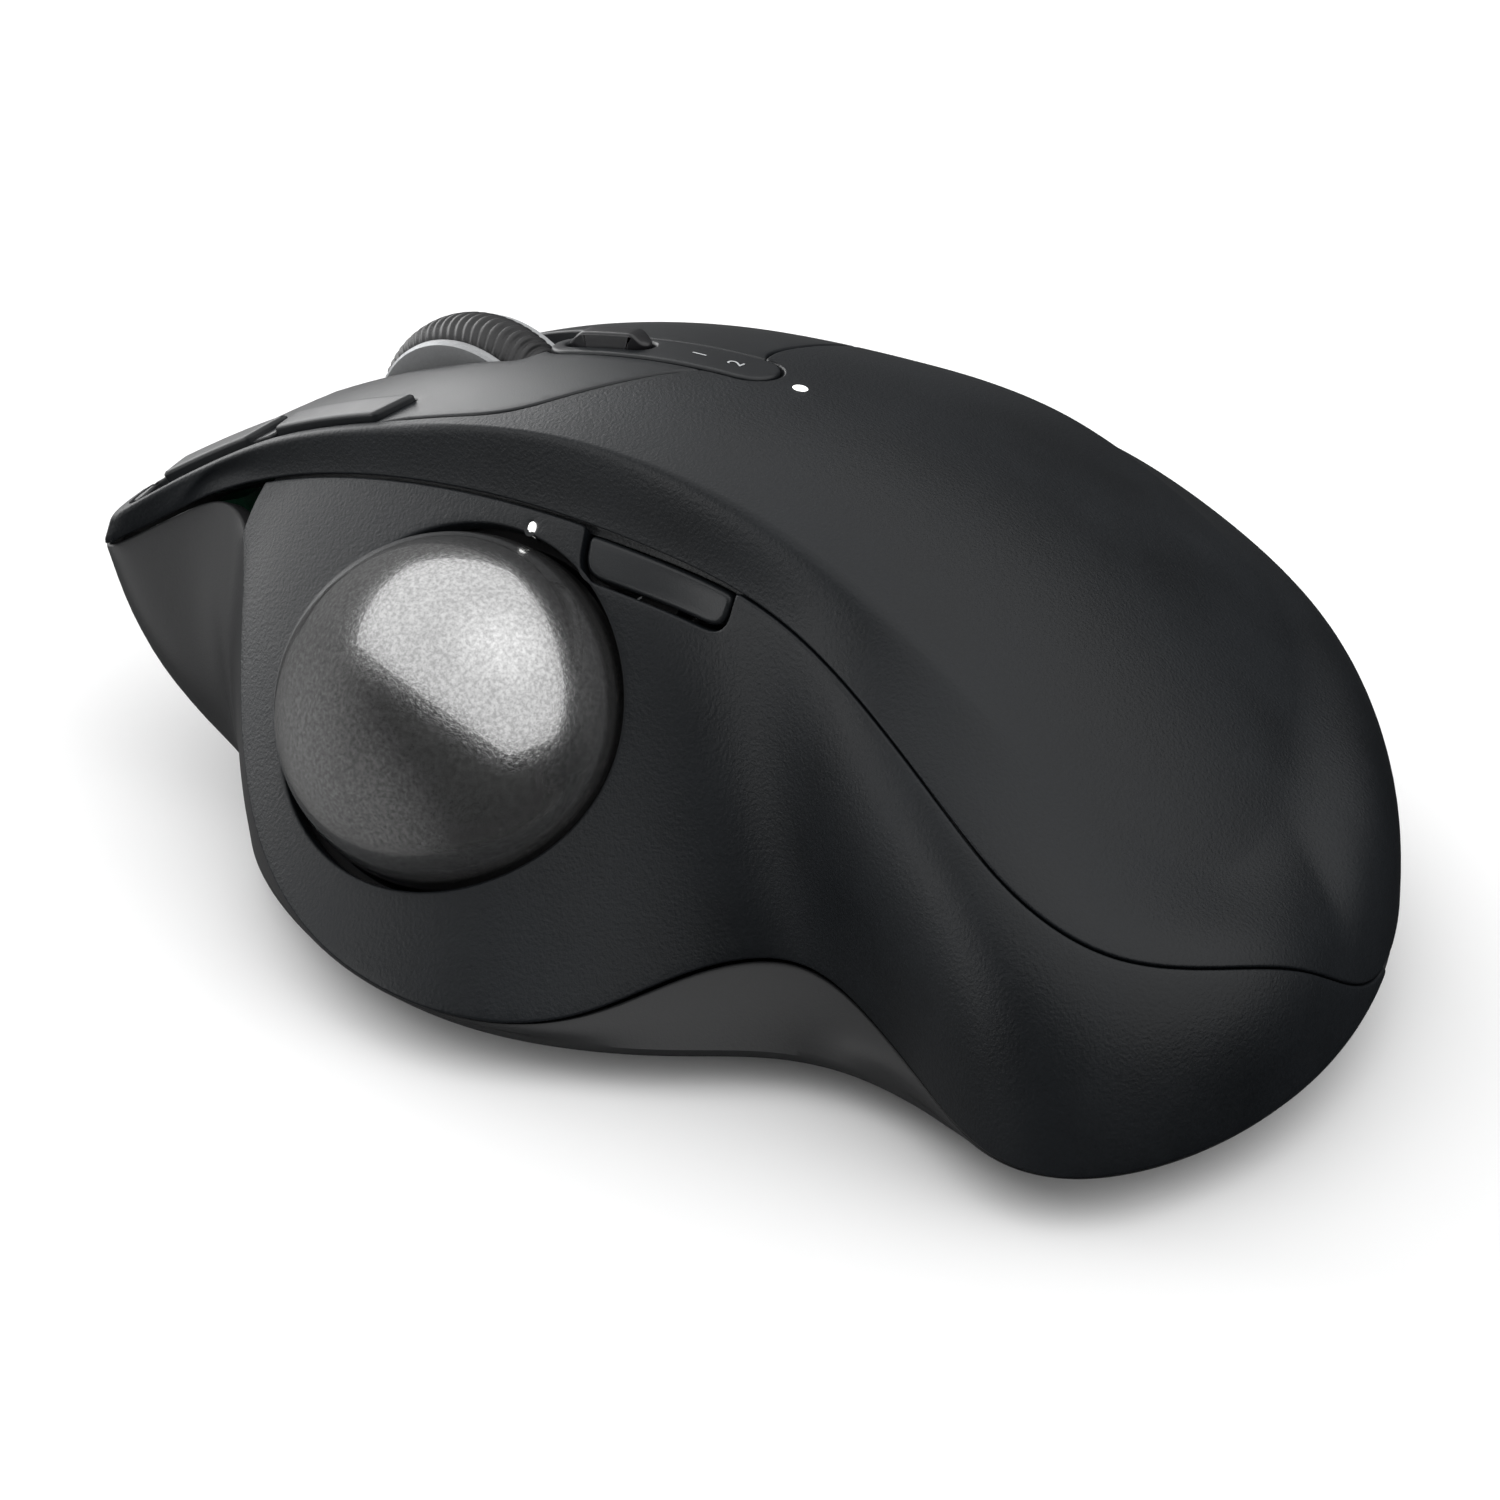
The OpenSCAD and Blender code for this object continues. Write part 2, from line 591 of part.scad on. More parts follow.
module hinge_brackets() {
    color(STEEL)
    for (y = hinge_ys)
        translate([hinge_x, y, 0])
        difference() {
            union() {
                for (s = [-1, 1])
                    translate([0, s * (KNUCKLE_L / 2 + 0.3 + EAR_T / 2) + EAR_T / 2, hinge_z])
                        rotate([90, 0, 0]) cylinder(r = 1.55, h = EAR_T, $fn = 32);
                for (s = [-1, 1])
                    translate([-1.55, s * (KNUCKLE_L / 2 + 0.3 + EAR_T / 2) - EAR_T / 2, hinge_z])
                        cube([3.1, EAR_T, 3.4]);
                translate([-7, -7, 8]) cube([11, 14, 1.2]);
            }
            translate([0, 10, hinge_z]) rotate([90, 0, 0])
                cylinder(r = hinge_pin_r + fit, h = 20, $fn = 32);
        }
}

MAGNET_R = 4.5;
module body_magnets() {
    color("#8b8d92") {
        for (p = [[-10, 14], [-15, -34], [8, -42]])
            translate([p[0], p[1], deck + floor_t + 0.05]) cylinder(r = MAGNET_R, h = 1.8, $fn = 32);
        for (y = [-6, 6])
            translate([apex_x, 0, deck]) rotate([0, -tilt, 0])
                translate([11, y, floor_t + 0.4]) cylinder(r = MAGNET_R, h = 1.8, $fn = 32);
    }
}

// ---- ball ----

module trackball() {
    color("#77797c") translate(ball_pos) sphere(r = ball_r, $fn = 96);
}

BEAD_R = 1.25;
BEAD_POLE = 128;
module at_beads() {
    for (a = [90, 210, 330])
        at_ball(0) rotate([0, 0, a + 60]) rotate([0, BEAD_POLE, 0]) children();
}

CUP_EDGE = 97;
CUP_OPEN = 160;
function arc(r, from, to, n) = [
    for (i = [0:n]) let(a = mix(from, to, i / n)) [r * sin(a), r * cos(a)]
];
module ball_cup() {
    color(DARK)
    difference() {
        at_ball(0) rotate_extrude($fn = 96)
            polygon(concat(arc(cup_in, CUP_EDGE, CUP_OPEN, 24), arc(cup_out, CUP_OPEN, CUP_EDGE, 24)));
        at_beads() cylinder(r = BEAD_R + 0.02, h = 30, $fn = 24);
    }
}

module ball_bearings() {
    color("#e8e4da") at_beads() translate([0, 0, ball_r + BEAD_R + 0.02]) sphere(r = BEAD_R, $fn = 24);
}

module sensor_lens() {
    color("#c8d4dc") at_ball(-cup_out - 1.6) cylinder(r = 3, h = 1.2, $fn = 32);
}

module sensor_chip() {
    color("#101114") at_ball(-cup_out - 3.4) translate([-3.5, -3.5, 0]) cube([7, 7, 1.6]);
}

// ---- wheel ----

module at_wheel() {
    translate(wheel_pos) rotate([0, 90, 0]) children();
}

TYRE_DEPTH = 1.9;
module wheel_tyre() {
    r = wheel_d / 2;
    color("#141516")
    at_wheel() rotate_extrude($fn = 96)
        polygon([[r - TYRE_DEPTH, -tyre_w / 2], [r - 0.5, -tyre_w / 2], [r, -tyre_w / 2 + 0.8],
                 [r, tyre_w / 2 - 0.8], [r - 0.5, tyre_w / 2], [r - TYRE_DEPTH, tyre_w / 2]]);
}

module wheel_rim() {
    r = wheel_d / 2;
    color(STEEL)
    at_wheel() rotate_extrude($fn = 96)
        polygon([
            [axle_r, -3.4], [3.6, -3.4], [3.6, -1], [r - 4.4, -1], [r - 4.4, -rim_w / 2],
            [r - 1.2, -rim_w / 2], [r - 1.2, -tyre_w / 2], [r - TYRE_DEPTH, -tyre_w / 2],
            [r - TYRE_DEPTH, tyre_w / 2], [r - 1.2, tyre_w / 2], [r - 1.2, rim_w / 2],
            [r - 4.4, rim_w / 2], [r - 4.4, 1], [3.6, 1], [3.6, 3.4], [axle_r, 3.4]
        ]);
}

module wheel_axle() {
    color(STEEL) at_wheel() translate([0, 0, -7]) cylinder(r = axle_r, h = 16.4, $fn = 32);
}

module wheel_yoke() {
    color("#54575c")
    difference() {
        union() {
            for (x = [-6.6, 5])
                translate([wheel_pos[0] + x, 36.5, tilt_z - 1]) cube([1.6, 6.4, 18]);
            translate([wheel_pos[0] - 6.6, 35, tilt_z - 1]) cube([13.2, 8.5, 2]);
            translate([wheel_pos[0], 46.2, tilt_z]) rotate([90, 0, 0])
                cylinder(r = pin_r, h = 14.4, $fn = 32);
        }
        at_wheel() translate([0, 0, -10]) cylinder(r = axle_r + fit, h = 20, $fn = 32);
    }
}

module wheel_encoder() {
    color("#30343a")
    difference() {
        translate([wheel_pos[0] + 6.7, 35.7, 29.5]) cube([3.6, 7.2, 6.2]);
        at_wheel() cylinder(r = axle_r + fit, h = 20, $fn = 32);
    }
}

RAIL_X = 7.4;
module wheel_cradle() {
    color("#4a4d52")
    difference() {
        union() {
            for (x = [-RAIL_X - 1.6, RAIL_X])
                translate([wheel_pos[0] + x, cradle_y, tilt_z - 2]) cube([1.6, 46.6 - cradle_y, 4]);
            for (y = [31.4, 44.2])
                translate([wheel_pos[0] - RAIL_X - 1, y, tilt_z - 2])
                    cube([2 * RAIL_X + 2, 2.4, 4]);
            translate([wheel_pos[0] - RAIL_X - 4, cradle_y, tilt_z]) rotate([0, 90, 0])
                cylinder(r = pin_r, h = 2 * RAIL_X + 8, $fn = 32);
            translate([wheel_pos[0] - RAIL_X - 1.6, cradle_y, tilt_z]) rotate([0, 90, 0])
                cylinder(r = 2, h = 2 * RAIL_X + 3.2, $fn = 32);
        }
        translate([wheel_pos[0], 50, tilt_z]) rotate([90, 0, 0])
            cylinder(r = pin_r + fit, h = 20, $fn = 32);
    }
}

// ---- inside ----

module inner_frame() {
    left = wheel_pos[0] - RAIL_X - 4.4;
    right = wheel_pos[0] + RAIL_X + 2;
    color("#3a3d42")
    difference() {
        union() {
            translate([-11.2, 4, 10.4]) cube([33, 26, 1.6]);
            for (x = [left, right])
                translate([x, cradle_y - 3, 10.4]) cube([2.4, 6, 11.2]);
            for (p = [[-9.7, 28], [16, 24], [20.4, 28]])
                translate([p[0], p[1], 10.4]) cylinder(r = 1.4, h = 14.5, $fn = 24);
        }
        translate([left - 1, cradle_y, tilt_z]) rotate([0, 90, 0])
            cylinder(r = pin_r + fit, h = 30, $fn = 32);
    }
}

module main_board() {
    color(GREEN)
    union() {
        translate([-8, -38, 7.6]) cube([22, 62, 1.2]);
        translate([-4, 6, 8.8]) cube([8, 8, 1]);
        translate([6, 12, 8.8]) cube([6, 6, 1]);
    }
}

module switch_board() {
    color(GREEN)
    difference() {
        translate([-13, 21.5, 25]) cube([36.5, 25.5, 1.2]);
        translate([-5.4, 26, 20]) cube([18.8, 30, 10]);
        translate([-20, 16, 20]) cube([9.4, 12, 10]);
    }
}

module side_board() {
    color(GREEN)
    translate([-16.2, 38.6, 34.2]) rotate([-26, 0, 0])
    union() {
        cube([3.2, 24, 1]);
        translate([0.2, 4, 1]) cube([2.8, 4, 1.4]);
        translate([0.2, 19, 1]) cube([2.8, 4, 1.4]);
    }
}

module microswitch(h) {
    union() {
        cube([5.8, 12.8, h]);
        translate([2, 8, h]) cube([1.8, 1.6, 0.6]);
    }
}

module left_switch() {
    color("#1a1b1d") translate([-12.2, 32.6, 26.2]) microswitch(6.5);
}

module right_switch() {
    color("#1a1b1d") translate([13.3, 29.3, 26.2]) microswitch(6.5);
}

module middle_switch() {
    color("#1a1b1d") translate([wheel_pos[0] - 2.9, 24.6, 12.05]) microswitch(3.2);
}

module precision_switch() {
    color("#1a1b1d") on_band(PRECISION_K, PRECISION_V, 5.6) translate([-2, -2, 0]) cube([4, 4, 2.2]);
}

module battery() {
    color("#4d6f9a") translate([-7, -34, 11.4]) rounded_battery();
}
module rounded_battery() {
    cube([22, 34, 7]);
}

module battery_tray() {
    color("#3a3d42")
    difference() {
        translate([-8.6, -35.6, 9.2]) cube([25.2, 37.2, 7]);
        translate([-7.1, -34.1, 10.8]) cube([22.2, 34.2, 10]);
    }
}

module flex_cable() {
    color("#b2782e")
    union() {
        translate([23, 6, 8.9]) cube([0.3, 11, 15.5]);
        translate([12.4, 6, 8.9]) cube([10.9, 11, 0.3]);
        translate([19, 6, 24.1]) cube([4.3, 17.4, 0.3]);
    }
}

module power_slider() {
    color("#15171a")
    union() {
        translate(SLIDER_POS - [2, 2.8, 1.2]) cube([4, 6, 2.4]);
        translate(SLIDER_POS - [3, 3.6, 2.4]) cube([6, 1, 4.8]);
    }
}

module charging_port() {
    color(STEEL)
    difference() {
        translate(PORT_POS - [4, 4.4, 1.4]) cube([8, 5.8, 2.8]);
        translate(PORT_POS - [3.6, 3.6, 1]) cube([7.2, 8, 2]);
    }
}

// Screws on the slope sit a little deeper, so that their heads clear the plate.
module at_screws() {
    for (p = SCREW_SPOTS)
        translate([p[0], p[1], underside(p[0] + (p[0] > apex_x ? 2 : 0))]) children();
}

module shell_screws() {
    color(STEEL)
    at_screws()
    union() {
        translate([0, 0, 0.2]) cylinder(r = 2.2, h = 0.9, $fn = 32);
        translate([0, 0, 1]) cylinder(r = 1.2, h = 11, $fn = 24);
    }
}

module standoffs() {
    color("#b08d4a")
    at_screws()
    translate([0, 0, floor_t + 1.2])
    difference() {
        cylinder(r = 2.2, h = 12, $fn = 32);
        translate([0, 0, -1]) cylinder(r = 1.2 + fit, h = 14, $fn = 24);
    }
}

base_plate();
base_pad();
tilt_pins();
hinge_brackets();
lower_shell();
side_shell();
palm_shell();
left_button();
right_button();
back_button();
forward_button();
precision_button();
device_panel();
device_button();
battery_lens();
precision_lens();
trackball();
ball_cup();
ball_bearings();
sensor_lens();
sensor_chip();
wheel_tyre();
wheel_rim();
wheel_axle();
wheel_yoke();
wheel_encoder();
wheel_cradle();
inner_frame();
main_board();
switch_board();
side_board();
left_switch();
right_switch();
middle_switch();
precision_switch();
battery();
battery_tray();
flex_cable();
body_magnets();
power_slider();
charging_port();
shell_screws();
standoffs();
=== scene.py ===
"""Thumb trackball mouse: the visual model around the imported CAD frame. Lengths below are in millimetres."""
import json
import math

import bpy
import numpy as np
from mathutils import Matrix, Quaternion, Vector
from mathutils.geometry import delaunay_2d_cdt


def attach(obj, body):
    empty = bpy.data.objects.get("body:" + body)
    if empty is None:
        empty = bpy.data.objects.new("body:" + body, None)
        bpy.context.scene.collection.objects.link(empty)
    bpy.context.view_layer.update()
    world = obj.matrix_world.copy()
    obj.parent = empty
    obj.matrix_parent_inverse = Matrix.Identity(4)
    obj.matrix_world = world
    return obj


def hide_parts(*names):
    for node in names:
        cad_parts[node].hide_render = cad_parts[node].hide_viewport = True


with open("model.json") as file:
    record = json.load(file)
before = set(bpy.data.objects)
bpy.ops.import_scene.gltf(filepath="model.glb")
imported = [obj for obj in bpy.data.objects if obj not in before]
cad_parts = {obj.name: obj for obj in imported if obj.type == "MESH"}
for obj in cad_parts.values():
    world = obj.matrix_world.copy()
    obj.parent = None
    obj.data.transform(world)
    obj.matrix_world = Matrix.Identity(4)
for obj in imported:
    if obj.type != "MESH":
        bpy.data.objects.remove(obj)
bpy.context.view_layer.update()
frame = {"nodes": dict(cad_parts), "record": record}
SCENE = bpy.context.scene
MM = 0.001

# ---------------------------------------------------------------- the body's surface
# One row per station of the outline: inner edge, ridge, seam, skirt, base, sharpness of the ridge.
STATIONS = [
    [(-23.6, 66), (-25.5, 67.2), (-26, 67.5, 22.5), (-26, 67.5, 22.5), (-26.5, 46), 1],
    [(-19.2, 61), (-20.5, 61.5), (-21, 61.5, 27), (-21, 61.5, 27), (-28.5, 45.5), 1],
    [(-16.8, 53.5), (-18, 54), (-18.5, 54.5, 31.8), (-18, 54, 32.2), (-31, 44), 1],
    [(-16.5, 45), (-17.7, 45), (-18.5, 45, 36), (-30, 46, 23), (-35, 41), 1],
    [(-16.4, 37), (-17.7, 36), (-18.6, 36, 38.8), (-43, 35, 11.5), (-41, 34), 1],
    [(-16.1, 30.5), (-17.3, 26), (-18.6, 26, 40.8), (-50, 20.5, 6.8), (-47, 20), 1],
    [(-15, 24.5), (-17, 16), (-18.6, 16, 41.8), (-50, 5, 6), (-47.8, 6), 1],
    [(-10, 20.6), (-17, 6), (-18.6, 6, 41.8), (-43.5, -5, 6.5), (-44, -5), 0.8],
    [(-5, 17), (-17, -4), (-19, -4.5, 41.4), (-33, -10, 9.5), (-39, -13), 0.5],
    [(-1.2, 14.6), (-17.3, -14), (-20.6, -13.5, 39.8), (-27, -18, 11.5), (-33.5, -19.5), 0.2],
    [(0.2, 11), (-18, -24), (-23.8, -23.5, 36.6), (-29, -27, 9.5), (-31, -27), 0],
    [(1, 7.6), (-18.5, -33), (-27, -33.5, 32), (-33, -36, 7.5), (-32, -36), 0],
    [(2.6, 6.2), (-17.5, -41), (-29, -42, 27.5), (-37.5, -45.5, 5.6), (-34.7, -45), 0],
    [(4.6, 6.3), (-14, -47), (-27, -51, 23.5), (-35, -54, 5.4), (-33, -52.5), 0],
    [(6.2, 8.2), (-9, -50.5), (-19, -57.5, 21.5), (-24.5, -60.5, 5.4), (-23.5, -58.5), 0],
    [(7.4, 11.2), (-2, -51), (-9, -61.5, 18.3), (-11, -63.7, 6), (-11, -61), 0],
    [(11, 11.8), (6, -49), (3, -62.4, 7.6), (3, -62.5, 7), (2, -59.5), 0],
    [(16, 11.8), (14, -45), (15.8, -58.2, 8.4), (15.8, -58.2, 8), (14, -54.3), 0],
    [(21, 12.1), (25, -39), (27.6, -50.6, 9.4), (27.6, -50.6, 9), (24.4, -46.8), 0.05],
    [(26, 12.8), (31.5, -29.5), (39.2, -39.2, 10.4), (39.2, -39.2, 10), (34, -35.8), 0.35],
    [(29, 14.2), (33.8, -17), (47, -23.2, 11.4), (47, -23.2, 11), (41, -21.5), 0.75],
    [(30, 17), (33.2, -4), (50, -7, 12.4), (50, -7, 12), (44.3, -6.5), 0.9],
    [(30.2, 21), (32, 9), (49.5, 9, 12.9), (49.5, 9, 12.5), (44, 9), 0.9],
    [(30.2, 27), (32, 22), (44.5, 25, 14.4), (44.5, 25, 14), (40, 24), 0.9],
    [(30.4, 35), (32, 34), (38, 38, 18.4), (38, 38, 18), (34, 35), 0.9],
    [(30.8, 43), (32.5, 44), (34, 46, 20), (34, 46, 20), (28, 42), 1],
    [(24, 48), (25, 49), (25, 52.5, 23), (25, 52.5, 23), (21, 44), 0.6],
    [(12, 49.5), (13, 50.5), (13, 56.5, 26), (13, 56.5, 26), (11, 45), 0.4],
    [(1, 51), (2, 52), (2, 58.5, 28), (2, 58.5, 28), (1, 46), 0.4],
    [(-6.6, 55.5), (-7, 56.5), (-6, 62, 27.5), (-6, 62, 27.5), (-8, 47), 0.5],
    [(-14, 62.4), (-14.5, 63.5), (-14, 66.5, 25.5), (-14, 66.5, 25.5), (-16, 47), 0.8],
    [(-20.6, 66.8), (-21.5, 67.8), (-21.5, 69.3, 23), (-21.5, 69.3, 23), (-22, 47), 1],
]
COUNT = len(STATIONS)
INNER, RIDGE, SEAM, SKIRT, BASE, SHARP = [
    np.array([s[i] for s in STATIONS], float) for i in range(6)
]
CREST = np.array([-14, 0, 13, 25.5, 34, 40.6, 44.8, 48.3, 50, 50.4, 49.5, 47.1, 43.3, 37.9, 31.6, 25, 18])
CREST_START, CREST_STEP = -80, 10
LEAN, FRONT_LEAN, BEND = -0.1, -0.07, -0.0088
# how the top lifts again towards the right shoulder, and where that starts
SHOULDER, SHOULDER_X, SHOULDER_Y = 0.0042, 10, 22
SPINE_X, SPINE_Y = 2, 25
CAP_CENTRE = np.array([2.0, 10.0])
PUFF = 0.13
# how much fuller the upper band is where there is no lower band
FULL = 1.0
# half of the short step over which slopes are measured
HALF_STEP = 0.05

BALL = np.array([-30.5, 19, 24.7])
BALL_R = 17.0
BALL_LEAN = math.radians(47)
RING_R = 17.9
WHEEL = np.array([1.8, 39.7, 33.5])
DECK, APEX_X, TILT = 3.4, 22, math.radians(20)
OVAL_REAR, OVAL_FRONT, OVAL_R = np.array([3.7, 10.2]), np.array([1.5, 28.6]), 2.9
DEVICE_REAR, DEVICE_FRONT = np.array([2.5, 22.2]), np.array([1.7, 28.6])


def norm(v):
    return np.linalg.norm(v, axis=-1, keepdims=True)


def unit(v):
    return v / np.maximum(norm(v), 1e-9)


def dot(a, b):
    return (a * b).sum(-1, keepdims=True)


def mix(a, b, t):
    return a + (b - a) * t


def smooth(t):
    t = np.clip(t, 0, 1)
    return t * t * (3 - 2 * t)


def basis(t):
    return (
        (1 - t) ** 3 / 6,
        (3 * t**3 - 6 * t**2 + 4) / 6,
        (-3 * t**3 + 3 * t**2 + 3 * t + 1) / 6,
        t**3 / 6,
    )


def spline(values, u, closed):
    """A uniform cubic B-spline through the control values, at u in steps of one value."""
    u = np.asarray(u, float)
    i = np.floor(u).astype(int)
    n = len(values)
    out = 0
    for j, b in enumerate(basis(u - i)):
        at = (i + j - 1) % n if closed else np.clip(i + j - 1, 0, n - 1)
        out = out + (b[..., None] if values.ndim > 1 else b) * values[at]
    return out


def loop(what, k):
    return spline(what, k, True)


def lean(y):
    return LEAN + FRONT_LEAN * smooth((y - 35) / 20)


def shoulder(y):
    return SHOULDER * smooth((SHOULDER_Y - y) / 32)


def top_z(x, y):
    lift = shoulder(y) * np.maximum(0, x - SHOULDER_X) ** 2
    return spline(CREST, (y - CREST_START) / CREST_STEP, False) + lean(y) * x + BEND * x * x + lift


def on_top(p, rise=0.0):
    return np.stack([p[..., 0], p[..., 1], top_z(p[..., 0], p[..., 1]) + rise], -1)


def hermite(p0, m0, p1, m1, t):
    return (
        (2 * t**3 - 3 * t**2 + 1) * p0 + (t**3 - 2 * t**2 + t) * m0
        + (3 * t**2 - 2 * t**3) * p1 + (t**3 - t**2) * m1
    )


def cap_slope(r):
    out = unit(r[..., :2] - CAP_CENTRE)
    x, y = r[..., 0], r[..., 1]
    gx = lean(y) + 2 * BEND * x + 2 * shoulder(y) * np.maximum(0, x - SHOULDER_X)
    gy = (top_z(x, y + HALF_STEP) - top_z(x, y - HALF_STEP)) / (2 * HALF_STEP)
    return unit(np.concatenate([out, (gx * out[..., 0] + gy * out[..., 1])[..., None]], -1))


def spine(p, z):
    return np.stack([
        np.full(p.shape[:-1], float(SPINE_X)), np.clip(p[..., 1], -SPINE_Y, SPINE_Y),
        np.full(p.shape[:-1], float(z))], -1)


def inward(p, depth, z=0.0):
    return p + depth * unit(spine(p, z) - p)


def skin(k, v):
    """The outer skin: v 0 to 1 from the ridge to the seam, and 1 to 2 from the seam to the skirt."""
    k, v = np.broadcast_arrays(np.asarray(k, float), np.asarray(v, float))
    r, s, e = on_top(loop(RIDGE, k)), loop(SEAM, k), loop(SKIRT, k)
    sharp, v = loop(SHARP, k)[..., None], v[..., None]
    upper, lower = norm(s - r), norm(e - s)
    fall = (e - s) / np.maximum(lower, 1e-6)
    drop = (s - r) / np.maximum(upper, 1e-6)
    run = unit(drop * lower + fall * upper)
    out = unit(s - spine(s, 0))
    puff = PUFF * unit(out - dot(out, fall) * fall)
    full = 1 + FULL * (1 - smooth(lower / 6))
    a = hermite(r, mix(cap_slope(r), drop, sharp) * upper, s, run * upper * full, np.clip(v, 0, 1))
    b = hermite(s, mix(run, fall + puff, sharp) * lower, e,
                mix(fall * 1.6 - run * 0.6, fall - puff, sharp) * lower, np.clip(v - 1, 0, 1))
    return np.where(v <= 1, a, b)


def upper_len(k):
    return norm(loop(SEAM, k) - on_top(loop(RIDGE, k)))[..., 0]


def lower_len(k):
    return norm(loop(SKIRT, k) - loop(SEAM, k))[..., 0]


def plan_normal(what, k):
    d = loop(what, k + HALF_STEP) - loop(what, k - HALF_STEP)
    return unit(np.stack([d[..., 1], -d[..., 0]], -1))


def underside(x):
    return DECK + np.maximum(0, x - APEX_X) * math.tan(TILT)


# ---------------------------------------------------------------- patches and shells
def grid_faces(rows, cols, wrap=False):
    """Quads of a grid of points; the outside is up when rows run out and columns anticlockwise."""
    faces = []
    for i in range(rows - 1):
        for j in range(cols if wrap else cols - 1):
            n = (j + 1) % cols
            faces.append((i * cols + j, (i + 1) * cols + j, (i + 1) * cols + n, i * cols + n))
    return faces


def normals(p, faces):
    total = np.zeros_like(p)
    for size in (3, 4):
        f = np.array([q for q in faces if len(q) == size])
        if len(f):
            n = np.cross(p[f[:, 1]] - p[f[:, 0]], p[f[:, 2]] - p[f[:, 0]])
            if size == 4:
                n = np.cross(p[f[:, 2]] - p[f[:, 0]], p[f[:, 3]] - p[f[:, 1]])
            for c in range(size):
                np.add.at(total, f[:, c], n)
    return unit(total)


def edge_loops(faces, n):
    e = np.array([(f[i], f[(i + 1) % len(f)]) for f in faces for i in range(len(f))], np.int64)
    open_ = e[~np.isin(e[:, 0] * n + e[:, 1], e[:, 1] * n + e[:, 0])]
    after = dict(map(tuple, open_.tolist()))
    loops = []
    while after:
        a, b = after.popitem()
        ring = [a]
        while b != ring[0]:
            ring.append(b)
            b = after.pop(b)
        loops.append(np.array(ring))
    return loops


def strip(a, b):
    return [(int(a[(i + 1) % len(a)]), int(a[i]), int(b[i]), int(b[(i + 1) % len(b)]))
            for i in range(len(a))]


def shell(p, faces, depth, fillet, steps=4, wall=None):
    """A closed thick cover from a surface patch: rounded edges, walls and an inner face.
    The depth may vary by point.
    wall(points) may give, for an edge's points, the direction in which its wall goes down."""
    n = len(p)
    out_n = normals(p, faces)
    p = p.copy()
    deep = np.zeros((n, 1)) + depth
    inner = p - deep * out_n
    more, made, total = [], [], 2 * n
    for ring in edge_loops(faces, n):
        at, up = p[ring].copy(), out_n[ring]
        ahead = unit(np.roll(at, -1, 0) - at)
        o1, o0 = unit(np.cross(ahead, up)), unit(np.cross(np.roll(ahead, 1, 0), up))
        out = unit(o1 + o0)
        reach = fillet * out / np.maximum(dot(out, o1), 0.7)
        p[ring] = at - reach
        last = ring
        for s in range(1, steps + 1):
            a = math.pi / 2 * s / steps
            more.append(at - reach * (1 - math.sin(a)) - fillet * (1 - math.cos(a)) * up)
            ids = total + np.arange(len(ring))
            total += len(ring)
            made += strip(last, ids)
            last = ids
        down = wall(at) if wall is not None else None
        inner[ring] = at - deep[ring] * (up if down is None else down)
        made += strip(last, n + ring)
    back = [tuple(n + i for i in reversed(f)) for f in faces]
    return np.concatenate([p, inner] + more), list(faces) + back + made


def inside(poly, q):
    x, y = q[:, 0], q[:, 1]
    found = np.zeros(len(q), bool)
    for (x0, y0), (x1, y1) in zip(poly, np.roll(poly, -1, 0)):
        crosses = (y0 > y) != (y1 > y)
        found ^= crosses & (x < (x1 - x0) * (y - y0) / ((y1 - y0) or 1e-12) + x0)
    return found


def resample(points, step, closed=True):
    p = np.asarray(points, float)
    if closed:
        p = np.concatenate([p, p[:1]])
    along = np.concatenate([[0], np.cumsum(np.linalg.norm(np.diff(p, axis=0), axis=1))])
    n = max(3, int(round(along[-1] / step)))
    at = np.linspace(0, along[-1], n + 1)[: n if closed else n + 1]
    return np.stack([np.interp(at, along, p[:, c]) for c in range(p.shape[1])], -1)


def rounded(points, radii, closed=True):
    """A polygon with each corner replaced by a short curve that starts radius away from it."""
    p = np.asarray(points, float)
    n, out = len(p), []
    for i in range(n):
        r = radii if np.isscalar(radii) else radii[i]
        a, b, c = p[i - 1], p[i], p[(i + 1) % n]
        if r <= 0 or (not closed and i in (0, n - 1)):
            out.append(b)
            continue
        la, lc = np.linalg.norm(a - b), np.linalg.norm(c - b)
        s, e = b + (a - b) * min(r / la, 0.5), b + (c - b) * min(r / lc, 0.5)
        for t in np.linspace(0, 1, 9):
            out.append((1 - t) ** 2 * s + 2 * t * (1 - t) * b + t**2 * e)
    return np.array(out)


def area(poly):
    q = np.roll(poly, -1, 0)
    return 0.5 * float((poly[:, 0] * q[:, 1] - q[:, 0] * poly[:, 1]).sum())


